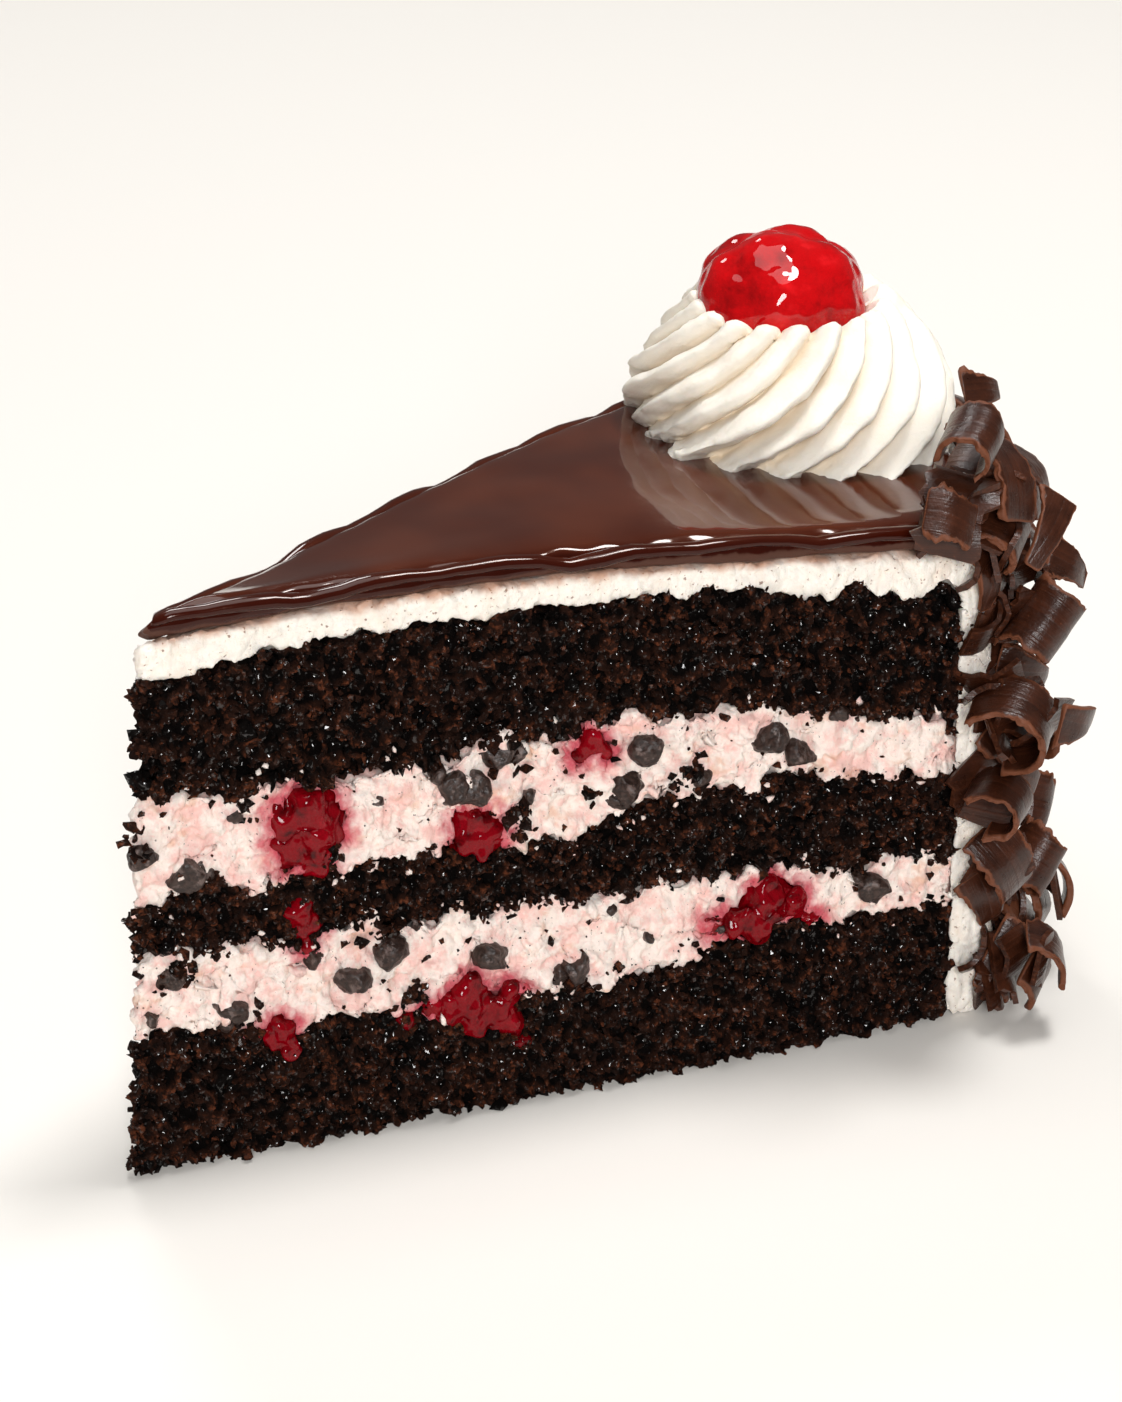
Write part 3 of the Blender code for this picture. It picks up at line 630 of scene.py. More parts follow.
def copy_of(node: str, name: str) -> Thing:
    """A copy of a CAD node with its loose triangles joined.

    Args:
        node: the CAD node's name.
        name: the copy's name.

    Returns:
        The new object.
    """
    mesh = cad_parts[node].data.copy()
    mesh.materials.clear()
    thing = bpy.data.objects.new(name, mesh)
    bpy.context.scene.collection.objects.link(thing)
    with editing(thing):
        bpy.ops.mesh.select_all(action="SELECT")
        bpy.ops.mesh.remove_doubles(threshold=0.00001)
    return thing


def choose_faces(thing: Thing, chosen: np.ndarray) -> None:
    """Selects some of an object's faces alone."""
    with editing(thing):
        bpy.ops.mesh.select_mode(type="FACE")
        bpy.ops.mesh.select_all(action="DESELECT")
    thing.data.polygons.foreach_set("select", chosen)


def on_cut(thing: Thing, depth_mm: float, facing: float) -> np.ndarray:
    """Which faces of a piece lie in the cut faces.

    Args:
        thing: the piece.
        depth_mm: how deep under the cut a face may lie.
        facing: how squarely it looks out of the cut, at least.

    Returns:
        True or False for each face.
    """
    middles, normals = face_places(thing)
    chosen = np.zeros(len(middles), bool)
    for side in Side:
        chosen |= (side.proud(middles) > -depth_mm * MM) & (normals @ side.out > facing)
    return chosen


def torn(thing: Thing, voxel_mm: float, reliefs: Sequence[Relief]) -> np.ndarray:
    """Remeshes a piece evenly, makes its cut faces finer and gives it relief.

    Args:
        thing: the piece.
        voxel_mm: the size of its faces, half of that in the cut faces.
        reliefs: the layers of relief, the coarsest first. The first only bends the surface.

    Returns:
        How far the later layers lifted each vertex, in millimetres.
    """
    alter(thing, "REMESH", mode="VOXEL", voxel_size=voxel_mm * MM)
    move_corners(thing, SPREAD.settle(corners(thing)))
    choose_faces(thing, on_cut(thing, depth_mm=1.2, facing=0.5))
    with editing(thing):
        bpy.ops.mesh.subdivide(number_cuts=1, smoothness=0.0)
    reliefs[0].press(thing)
    before, normals = corners(thing), corner_normals(thing)
    for relief in reliefs[1:]:
        relief.press(thing)
    points = corners(thing)
    lifted = ((points - before) * normals).sum(axis=1) / MM
    points[:, 2] = np.maximum(points[:, 2], 0.0)
    move_corners(thing, points)
    return lifted


def carry(thing: Thing, name: str, values: np.ndarray) -> None:
    """Stores a number at each vertex, for the material to read."""
    thing.data.attributes.new(name, "FLOAT", "POINT").data.foreach_set("value", values.astype(np.float32))


def hand_over(thing: Thing, material: bpy.types.Material, nodes: Sequence[str] = (),
              smooth: bool | None = True) -> Thing:
    """Gives a finished piece its material, slot and body, and hides what it stands for.

    Args:
        thing: the finished piece.
        material: its material.
        nodes: the CAD nodes that it replaces.
        smooth: whether its faces are shaded smooth, or None to leave them as they are.

    Returns:
        The piece.
    """
    thing.data.materials.clear()
    thing.data.materials.append(material)
    only(thing)
    if smooth:
        bpy.ops.object.shade_smooth()
    elif smooth is not None:
        bpy.ops.object.shade_flat()
    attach(thing, BODY)
    if nodes:
        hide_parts(*nodes)
    log.info("%s: %d faces", thing.name, len(thing.data.polygons))
    return thing


@dataclass
class Grains:
    """Loose grains of one kind: a few small lumps, copied over a surface as one mesh."""

    name: str
    least_mm: float
    most_mm: float
    squash: float = 0.8
    kinds: int = 6
    seed: int = 3
    even: float = 2.0
    stand_out: float = 0.2

    def _lump(self, number: int) -> tuple[np.ndarray, np.ndarray]:
        """One uneven lump of about unit radius: its vertices and its triangles."""
        lump = ball("lump", 1, 1.0)
        with editing(lump):
            bpy.ops.mesh.select_all(action="SELECT")
            bpy.ops.transform.vertex_random(offset=0.5, uniform=1.0, seed=number)
        points = corners(lump)
        faces = np.array([face.vertices[:] for face in lump.data.polygons])
        bpy.data.meshes.remove(lump.data)
        return points, faces

    def strew(self, spots: np.ndarray, normals: np.ndarray) -> Thing:
        """Sets one grain on each spot.

        Args:
            spots: where the grains sit.
            normals: which way the surface looks there.

        Returns:
            All the grains as one object.
        """
        draw = np.random.default_rng(self.seed)
        lumps = [self._lump(number) for number in range(self.kinds)]
        count = len(spots)
        radii = self.least_mm + (self.most_mm - self.least_mm) * draw.random(count) ** self.even
        turns = draw.normal(size=(count, 4))
        turns /= np.linalg.norm(turns, axis=1)[:, None]
        w, x, y, z = turns.T
        spin = np.array([
            [1 - 2 * (y * y + z * z), 2 * (x * y - z * w), 2 * (x * z + y * w)],
            [2 * (x * y + z * w), 1 - 2 * (x * x + z * z), 2 * (y * z - x * w)],
            [2 * (x * z - y * w), 2 * (y * z + x * w), 1 - 2 * (x * x + y * y)],
        ]).transpose(2, 0, 1)
        squashed = [draw.uniform(self.squash, 1.0, count) for _ in range(2)]
        shape = np.stack([np.ones(count), *squashed], axis=1)
        points, faces = [], []
        for n, spot in enumerate(spots):
            lump, sides = lumps[n % self.kinds]
            faces.append(sides + len(lump) * n)
            placed = (lump * shape[n]) @ spin[n].T * radii[n] * MM + spot
            points.append(placed + normals[n] * radii[n] * self.stand_out * MM)
        joined = np.concatenate(points)
        joined[:, 2] = np.maximum(joined[:, 2], 0.0)
        thing = made_of(self.name, joined, np.concatenate(faces))
        # The crumb's material paints shade or highlight from this lift, so each grain gets a random amount of
        # it.
        carry(thing, "lift", np.repeat(draw.uniform(-0.7, 0.6, count), len(lumps[0][0])))
        return thing


def cut_spots(thing: Thing, count: int, draw: np.random.Generator) -> tuple[np.ndarray, np.ndarray]:
    """Random places on both cut faces of a piece.

    Args:
        thing: the piece.
        count: how many places.
        draw: where the random numbers come from.

    Returns:
        The places and the normals there.
    """
    middles, normals = face_places(thing)
    picks = draw.choice(np.flatnonzero(on_cut(thing, depth_mm=1.6, facing=0.1)), count)
    return middles[picks] + draw.uniform(-0.2, 0.2, (count, 3)) * MM, normals[picks]


def tree_of(points: np.ndarray) -> KDTree:
    """A tree for finding the nearest of some points."""
    tree = KDTree(len(points))
    for n, point in enumerate(points):
        tree.insert(point, n)
    tree.balance()
    return tree


def faces_tree(thing: Thing) -> BVHTree:
    """An object's faces, for finding what lies under or near a place."""
    mesh = thing.data
    return BVHTree.FromPolygons([v.co for v in mesh.vertices], [p.vertices[:] for p in mesh.polygons])


def solid_of(node: str) -> BVHTree:
    """A CAD node's faces, for finding what lies under or near a place."""
    return faces_tree(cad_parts[node])


def tube(name: str, around: int, levels: int, ends: str) -> Thing:
    """Models a straight upright tube, one unit in radius and from -1 to 1 in height.

    Args:
        name: its name.
        around: how many corners it has around.
        levels: how many levels it is divided into.
        ends: how its ends are filled.

    Returns:
        The tube.
    """
    bpy.ops.object.select_all(action="DESELECT")
    bpy.ops.mesh.primitive_cylinder_add(vertices=around, radius=1.0, depth=2.0, end_fill_type=ends)
    thing = bpy.context.object
    thing.name = thing.data.name = name
    with editing(thing):
        bpy.ops.mesh.select_mode(type="EDGE")
        bpy.ops.mesh.select_all(action="DESELECT")
    for edge in thing.data.edges:
        low, high = (thing.data.vertices[n].co.z for n in edge.vertices)
        edge.select = abs(low - high) > 1.0
    with editing(thing):
        bpy.ops.mesh.subdivide(number_cuts=levels - 1)
    return thing


@dataclass
class Sponges:
    """The three chocolate sponges, with their torn crumb on the cut faces."""

    layers: tuple[str, ...] = ("sponge_bottom", "sponge_middle", "sponge_top")
    voxel_mm: float = 0.52
    grains_per_layer: int = 3600
    reliefs: tuple[Relief, ...] = (
        Relief("CLOUDS", 4.0, 1.6, 0.42, (("noise_depth", 1),)),
        Relief("CLOUDS", 1.5, 2.6, 0.55, (("noise_depth", 3), ("contrast", 1.9))),
        Relief("VORONOI", 1.1, -1.1, 0.34),
        Relief("CLOUDS", 0.6, 0.6, 0.5, (("noise_depth", 2),)),
    )

    def build(self, finish: bpy.types.Material) -> np.ndarray:
        """Builds and dresses the sponges.

        Args:
            finish: the crumb's material.

        Returns:
            Places strewn over their cut faces.
        """
        draw = np.random.default_rng(11)
        places = []
        for number, node in enumerate(self.layers):
            layer = copy_of(node, f"crumb_{node}")
            lifted = torn(layer, self.voxel_mm, self.reliefs)
            # The lift drives the painted shade in the crumb's pits and the painted highlight on its tops.
            carry(layer, "lift", lifted)
            hand_over(layer, finish, nodes=[node])
            grains = Grains(f"grains_{node}", 0.20, 0.72, squash=0.55, seed=30 + number)
            spots, normals = cut_spots(layer, self.grains_per_layer, draw)
            hand_over(grains.strew(spots, normals), finish, smooth=False)
            places.append(spots)
        return np.concatenate(places)


@dataclass
class Fillings:
    """The two cherry creams, with the chips and crumbs that stick in them."""

    layers: tuple[str, ...] = ("filling_lower", "filling_upper")
    voxel_mm: float = 0.52
    juice_reach_mm: float = 3.6
    edge_tries: int = 12000
    crumb_reach_mm: float = 1.0
    edge_share: float = 0.16
    stray_share: float = 0.016
    smears: int = 420
    smear_reach_mm: float = 1.5
    chip_proud_mm: float = 0.72
    chip_span_mm: float = 3.2
    chip_radius_mm: float = 2.0
    chip_sink_mm: float = 0.7
    chip_cuts: int = 8
    chip_cut_share: tuple[float, float] = (0.60, 0.95)
    small_chips: Triples = (
        (5.2, 41.4, 1.5), (11.2, 37.5, 1.3), (14.8, 44.4, 0.9), (38.0, 45.0, 1.3), (45.0, 45.2, 1.7),
        (47.6, 46.0, 1.2), (59.6, 38.8, 1.4), (69.4, 40.3, 1.2), (86.7, 43.8, 1.0), (48.7, 39.8, 0.9),
        (23.1, 23.9, 1.2), (27.7, 22.3, 1.4), (5.0, 20.5, 1.1), (12.7, 17.6, 1.2), (7.1, 24.9, 1.5),
        (52.3, 16.4, 1.2), (48.8, 19.6, 1.0), (58.5, 24.4, 0.9), (72.2, 17.6, 0.9), (35.0, 25.8, 0.8),
        (63.5, 19.0, 0.8), (20.5, 38.6, 0.7), (31.0, 42.5, 0.7), (90.0, 22.4, 0.9),
    )
    clumps: Triples = (
        (8.1, 25.4, 1.9), (45.2, 46.6, 1.9), (5.2, 43.4, 1.2), (47.6, 38.4, 1.8), (16.0, 46.0, 1.3),
        (84.0, 45.6, 1.5), (68.5, 39.8, 1.5), (12.0, 35.8, 1.2), (30.0, 26.6, 1.5), (53.5, 15.2, 1.5),
        (60.0, 26.6, 1.4), (76.0, 14.6, 1.3), (34.5, 17.4, 1.3), (88.5, 26.0, 1.3), (25.0, 36.4, 1.0),
        (56.0, 40.0, 1.3), (93.0, 15.6, 1.3), (15.0, 17.6, 1.2),
    )
    clump_crumbs: int = 26
    clump_spread: float = 0.55
    clump_sink_mm: tuple[float, float] = (-0.5, 0.6)
    reliefs: tuple[Relief, ...] = (
        Relief("CLOUDS", 3.6, 3.0, 0.48, (("noise_depth", 2),)),
        Relief("CLOUDS", 1.9, 1.5, 0.36, (("noise_depth", 2), ("noise_type", "HARD_NOISE"))),
        Relief("CLOUDS", 0.8, 0.5, 0.5, (("noise_depth", 2),)),
    )

    def build(self, fruit: np.ndarray, sponge: np.ndarray, chip: bpy.types.Material,
              crumb: bpy.types.Material) -> None:
        """Builds and dresses the fillings.

        Args:
            fruit: vertices of the cherry pieces, that the cream is stained round.
            sponge: places on the sponges' cut faces, that crumbs come from.
            chip: the material of the chocolate chips.
            crumb: the material of the crumbs.
        """
        finish = FillingFinish().make()
        draw = np.random.default_rng(12)
        juice, torn_edge = tree_of(fruit), tree_of(sponge)
        cream = []
        for number, node in enumerate(self.layers):
            layer = copy_of(node, f"cream_{node}")
            torn(layer, self.voxel_mm, self.reliefs)
            reach = np.array([juice.find(point)[2] for point in corners(layer)])
            carry(layer, "juice", np.clip(1.0 - reach / (self.juice_reach_mm * MM), 0.0, 1.0))
            hand_over(layer, finish, nodes=[node])
            spots, normals = cut_spots(layer, self.edge_tries, draw)
            cream.append(spots)
            far = np.array([torn_edge.find(spot)[2] for spot in spots]) / (self.crumb_reach_mm * MM)
            kept = draw.random(len(spots)) < np.exp(-far**2) * self.edge_share + self.stray_share
            crumbs = Grains(f"crumbs_{node}", 0.12, 0.70, squash=0.55, seed=50 + number, even=2.4)
            hand_over(crumbs.strew(spots[kept], normals[kept]), crumb, smooth=False)
            for n, spot in enumerate(self.chip_places(node)):
                size = self.chip_radius_mm * draw.uniform(0.85, 1.1)
                self.chip(f"chip_{node}_{n + 1:02d}", spot, size, chip, 100 * number + n)
        for n, (reach, height, size) in enumerate(self.small_chips):
            spot = SPREAD.settle(Side.NEAR.spot(reach, height, 0.2 * size)[None])[0]
            self.chip(f"small_chip_{n + 1:02d}", spot, size, chip, 300 + n)
        self.break_off(crumb, draw)
        self.smear(np.concatenate(cream), sponge, finish, draw)

    def break_off(self, crumb: bpy.types.Material, draw: np.random.Generator) -> None:
        """Strews clumps of crumb that broke off the sponges on the near cut face."""
        spots = []
        for reach, height, size in self.clumps:
            for _ in range(round(self.clump_crumbs * size)):
                side, up = draw.normal(size=2) * size * self.clump_spread
                spots.append(Side.NEAR.spot(reach + side, height + up, draw.uniform(*self.clump_sink_mm)))
        places = SPREAD.settle(np.array(spots))
        grains = Grains("broken_crumb", 0.30, 0.95, squash=0.55, seed=70, even=1.3)
        thing = grains.strew(places, np.tile(Side.NEAR.out, (len(places), 1)))
        hand_over(thing, crumb, smooth=False)

    def smear(self, cream: np.ndarray, sponge: np.ndarray, finish: bpy.types.Material,
              draw: np.random.Generator) -> None:
        """Leaves bits of cream that the knife dragged on to the crumb near the fillings.

        Args:
            cream: places on the fillings' cut faces.
            sponge: places on the sponges' cut faces.
            finish: the cream's material.
            draw: where the random numbers come from.
        """
        tree = tree_of(cream)
        far = np.array([tree.find(spot)[2] for spot in sponge]) / (self.smear_reach_mm * MM)
        chance = np.exp(-far**2)
        spots = sponge[draw.choice(len(sponge), self.smears, replace=False, p=chance / chance.sum())]
        outs = [min(Side, key=lambda side: abs(side.proud(spot[None])[0])).out for spot in spots]
        bits = Grains("dragged_cream", 0.14, 0.62, squash=0.5, seed=80, even=1.8)
        thing = bits.strew(spots + np.array(outs) * 0.25 * MM, np.array(outs))
        carry(thing, "juice", np.zeros(len(thing.data.vertices)))
        hand_over(thing, finish)

    def chip_places(self, node: str) -> list[np.ndarray]:
        """Finds the chips fused to a filling, which stand proud of its cut faces.

        Args:
            node: the filling's CAD node.

        Returns:
            The middle of each chip, sunk a little.
        """
        points = np.unique(np.round(corners(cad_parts[node]), 6), axis=0)
        places = []
        for side in Side:
            found: list[list[np.ndarray]] = []
            for point in points[side.proud(points) > self.chip_proud_mm * MM]:
                near = self.chip_span_mm * MM
                mates = [group for group in found if np.linalg.norm(group[0] - point) < near]
                if mates:
                    mates[0].append(point)
                else:
                    found.append([point])
            places += [np.mean(group, axis=0) - side.out * self.chip_sink_mm * MM for group in found]
        return list(SPREAD.settle(np.array(places)))

    def chip(self, name: str, spot: np.ndarray, size_mm: float, finish: bpy.types.Material,
             seed: int) -> None:
        """Models one rough, broken chocolate chip.

        Args:
            name: the chip's name.
            spot: its middle.
            size_mm: about half its width.
            finish: its material.
            seed: what makes it unlike the others.
        """
        draw = np.random.default_rng(seed)
        thing = ball(name, 2, size_mm * 1.25 * MM)
        with editing(thing):
            for _ in range(self.chip_cuts):
                tilt = Vector(draw.normal(size=3)).normalized()
                bpy.ops.mesh.select_all(action="SELECT")
                cut = tilt * size_mm * draw.uniform(*self.chip_cut_share) * MM
                bpy.ops.mesh.bisect(plane_co=cut, plane_no=tilt, clear_outer=True, use_fill=True)
            bpy.ops.mesh.select_all(action="SELECT")
            bpy.ops.transform.translate(value=spot)
        alter(thing, "REMESH", mode="VOXEL", voxel_size=min(0.26, size_mm * 0.14) * MM)
        Relief("CLOUDS", 1.1, 0.60, 0.5, (("noise_depth", 2),)).press(thing)
        hand_over(thing, finish)


@dataclass
class FruitPieces:
    """The crushed cherries that show in the cut faces, and the jam that ran out of them."""

    near: int = 7
    far: int = 4
    voxel_mm: float = 0.30
    jam_flat: float = 0.45
    jam_sink_mm: float = 0.15
    jam: tuple[Triples, ...] = (
        ((36.6, 15.6, 1.5), (38.8, 14.6, 2.1), (41.4, 15.5, 2.3), (44.4, 13.2, 1.9), (46.4, 14.9, 1.6),
         (45.9, 11.0, 1.3), (46.8, 8.6, 1.4), (33.8, 13.6, 1.3), (42.6, 12.6, 1.8)),
        ((22.1, 29.0, 1.2), (22.6, 27.2, 0.9), (21.4, 31.0, 1.3)),
        ((71.4, 20.8, 1.4), (72.6, 19.4, 1.0)),
        ((83.6, 18.6, 1.2), (84.2, 16.8, 0.9)),
        ((16.4, 16.6, 1.2), (19.8, 13.4, 1.3)),
        ((23.6, 35.8, 1.3), (24.2, 37.2, 1.6)),
    )

    def build(self) -> np.ndarray:
        """Builds and dresses the pieces.

        Returns:
            The vertices of all of them.
        """
        finish = CherryFinish(
            name="crushed_cherry", red=(0.200, 0.0005, 0.0042), dark=(0.050, 0.0002, 0.0010),
            glow=(0.420, 0.0026, 0.0150), patch_mm=2.2, syrup=0.42,
        ).make()
        names = [f"near_{n + 1}" for n in range(self.near)]
        names += [f"far_{n + 1}" for n in range(self.far)]
        points = []
        for name in names:
            piece = copy_of(f"cherry_piece_{name}", f"crushed_cherry_{name}")
            self.pulp(piece)
            hand_over(piece, finish, nodes=[f"cherry_piece_{name}"])
            points.append(corners(piece))
        for n, beads in enumerate(self.jam):
            piece = self.run_out(f"cherry_jam_{n + 1}", beads)
            hand_over(piece, finish)
            points.append(corners(piece))
        return np.concatenate(points)

    def pulp(self, piece: Thing) -> None:
        """Turns a piece into uneven wet pulp."""
        alter(piece, "REMESH", mode="VOXEL", voxel_size=self.voxel_mm * MM)
        move_corners(piece, SPREAD.settle(corners(piece)))
        Relief("CLOUDS", 2.4, 2.6, 0.42, (("noise_depth", 1),)).press(piece)
        Relief("CLOUDS", 1.2, 0.6, 0.45, (("noise_depth", 1),)).press(piece)
        alter(piece, "SMOOTH", factor=0.5, iterations=6)

    def run_out(self, name: str, beads: Triples) -> Thing:
        """Joins flat beads of jam on the near cut face.

        Args:
            name: the piece's name.
            beads: reach, height and half width of each, in millimetres.

        Returns:
            The piece.
        """
        made = []
        for reach, height, size in beads:
            bead = ball("bead", 3, size * MM)
            points = corners(bead)
            flat = points - np.outer(points @ Side.NEAR.out, Side.NEAR.out) * self.jam_flat
            move_corners(bead, flat + Side.NEAR.spot(reach, height, self.jam_sink_mm))
            made.append(bead)
        piece = only(made[0])
        for bead in made[1:]:
            bead.select_set(True)
        bpy.ops.object.join()
        piece.name = piece.data.name = name
        self.pulp(piece)
        return piece


@dataclass
class Coat:
    """The cream over the top sponge and down the back wall."""

    voxel_mm: float = 0.62
    bleed_mm: float = 2.4
    reliefs: tuple[Relief, ...] = (
        Relief("CLOUDS", 4.5, 1.5, 0.44, (("noise_depth", 2),)),
        Relief("CLOUDS", 1.5, 0.8, 0.36, (("noise_depth", 2), ("noise_type", "HARD_NOISE"))),
        Relief("CLOUDS", 0.8, 0.3, 0.5, (("noise_depth", 2),)),
    )

    def build(self) -> Thing:
        """Builds and dresses the coat.

        Returns:
            The coat.
        """
        coat = copy_of("cream_coat", "spread_cream_coat")
        torn(coat, self.voxel_mm, self.reliefs)
        glaze = solid_of("glaze")
        far = np.array([glaze.find_nearest(point)[3] for point in corners(coat)])
        carry(coat, "bleed", np.clip(1.0 - far / (self.bleed_mm * MM), 0.0, 1.0))
        return hand_over(coat, CoatFinish().make(), nodes=["cream_coat"])


def ripple(along_mm: np.ndarray, waves: Triples) -> np.ndarray:
    """The sum of some waves along a line, each with its height, millimetres a radian and phase."""
    return sum(height * np.sin(along_mm / length + phase) for height, length, phase in waves)


def evened(path: np.ndarray, count: int) -> np.ndarray:
    """A path with each point averaged with that many neighbours on either side."""
    first, last = np.repeat(path[:1], count, axis=0), np.repeat(path[-1:], count, axis=0)
    padded = np.concatenate([first, path, last])
    weights = np.hanning(2 * count + 3)[1:-1]
    weights /= weights.sum()
    return np.stack([np.convolve(padded[:, n], weights, "valid") for n in range(3)], axis=1)


@dataclass
class Glaze:
    """Poured chocolate on the top, with a bead along its rim and a band under it that the knife cut."""

    crease: float = 0.35
    bead_in_mm: float = 1.75
    bead_wide_mm: float = 1.05
    bead_high_mm: float = 0.78
    bead_sink_mm: float = 0.26
    bead_reach_mm: float = 104.0
    bead_step_mm: float = 0.5
    bead_turn: int = 5
    bead_swell: Triples = ((0.10, 5.3, 0.0), (0.07, 2.1, 1.0))
    bead_wander: Triples = ((0.16, 7.1, 0.0), (0.07, 2.9, 2.0))
    front_mm: float = 1.9
    front_fade_mm: float = 0.7
    rim_mm: float = 1.8
    rim_swell: Triples = ((0.20, 2.3, 0.0), (0.12, 0.8, 1.0), (0.14, 5.1, 0.0))

    def build(self) -> Thing:
        """Builds and dresses the glaze.

        Returns:
            The glaze.
        """
        glaze = copy_of("glaze", "poured_glaze")
        crease_sharp(glaze, join_deg=180.0, sharp_deg=20.0, crease=self.crease)
        alter(glaze, "SUBSURF", levels=4, render_levels=4)
        points = corners(glaze)
        above = self.above_cream(points)
        inside = np.minimum.reduce([-side.proud(points) for side in Side]) / MM
        Relief("CLOUDS", 26.0, 0.7, 0.5).press(glaze)
        self.uneven_edge(glaze)
        carry(glaze, "foot", above)
        # Painted shade mask: upright faces near the rim, which the material paints darker.
        upright = np.clip(1.4 - corner_normals(glaze)[:, 2], 0.0, 1.0)
        front = np.clip((self.front_mm - inside) / self.front_fade_mm, 0.0, 1.0)
        carry(glaze, "front", front * upright)
        finish = GlazeFinish().make()
        hand_over(self.bead(faces_tree(glaze)), finish)
        return hand_over(glaze, finish, nodes=["glaze"])

    def bead(self, top: BVHTree) -> Thing:
        """Lays the smooth bead that runs round the rim of the top, half sunk in it.

        Args:
            top: the glaze's faces.

        Returns:
            The bead.
        """
        reach = np.arange(self.bead_reach_mm, 0.0, -self.bead_step_mm)
        reach = reach[reach > self.bead_in_mm / math.sin(HALF_WEDGE)]
        path = [Side.NEAR.spot(distance, 0.0, self.bead_in_mm) for distance in reach]
        path += [Side.FAR.spot(distance, 0.0, self.bead_in_mm) for distance in reach[::-1]]
        path = evened(np.array(path), self.bead_turn) - 0.2 * np.array(DOWN)
        hits = [top.ray_cast(Vector(point), DOWN)[0] for point in path]
        path = np.array([(*point[:2], hit.z) for point, hit in zip(path, hits) if hit is not None])
        path = evened(path, self.bead_turn)
        steps = np.concatenate([[0.0], np.cumsum(np.linalg.norm(np.diff(path, axis=0), axis=1))])
        bead = tube("glaze_bead", around=20, levels=380, ends="NGON")
        points = corners(bead)
        along = (points[:, 2] + 1.0) / 2.0 * steps[-1]
        middle, ahead, behind = (
            np.stack([np.interp(along + shift * MM, steps, path[:, n]) for n in range(3)], axis=1)
            for shift in (0.0, self.bead_step_mm, -self.bead_step_mm)
        )
        across = np.cross(ahead - behind, (0.0, 0.0, 1.0))
        across /= np.linalg.norm(across, axis=1)[:, None]
        swell = 1.0 + ripple(along / MM, self.bead_swell)
        sideways = points[:, 0] * self.bead_wide_mm * swell + ripple(along / MM, self.bead_wander)
        middle += across * sideways[:, None] * MM
        middle[:, 2] += (points[:, 1] * self.bead_high_mm * swell - self.bead_sink_mm) * MM
        move_corners(bead, middle)
        carry(bead, "foot", np.full(len(points), 3.0))
        # Painted shade mask: darker on the bead's outer side, towards the cut face.
        carry(bead, "front", np.clip(0.5 - 0.5 * points[:, 0], 0.0, 1.0))
        return bead

    def uneven_edge(self, glaze: Thing) -> None:
        """Lets the rim swell and thin out along the cut faces."""
        points = corners(glaze)
        for side in Side:
            near = np.exp(-((side.proud(points) / (self.rim_mm * MM)) ** 2))
            swell = ripple((points - POINT) @ side.along / MM, self.rim_swell)
            points += np.outer(swell * near * MM, side.out)
        move_corners(glaze, points)

    def above_cream(self, points: np.ndarray) -> np.ndarray:
        """How far points lie over the lowest glaze of their part of the slice, in millimetres."""
        reach = np.round((points[:, 0] - POINT[0]) / (2.0 * MM)).astype(int)
        place = reach * 2 + (points[:, 1] > POINT[1])
        lowest = {key: points[place == key, 2].min() for key in np.unique(place)}
        return (points[:, 2] - np.array([lowest[key] for key in place])) / MM


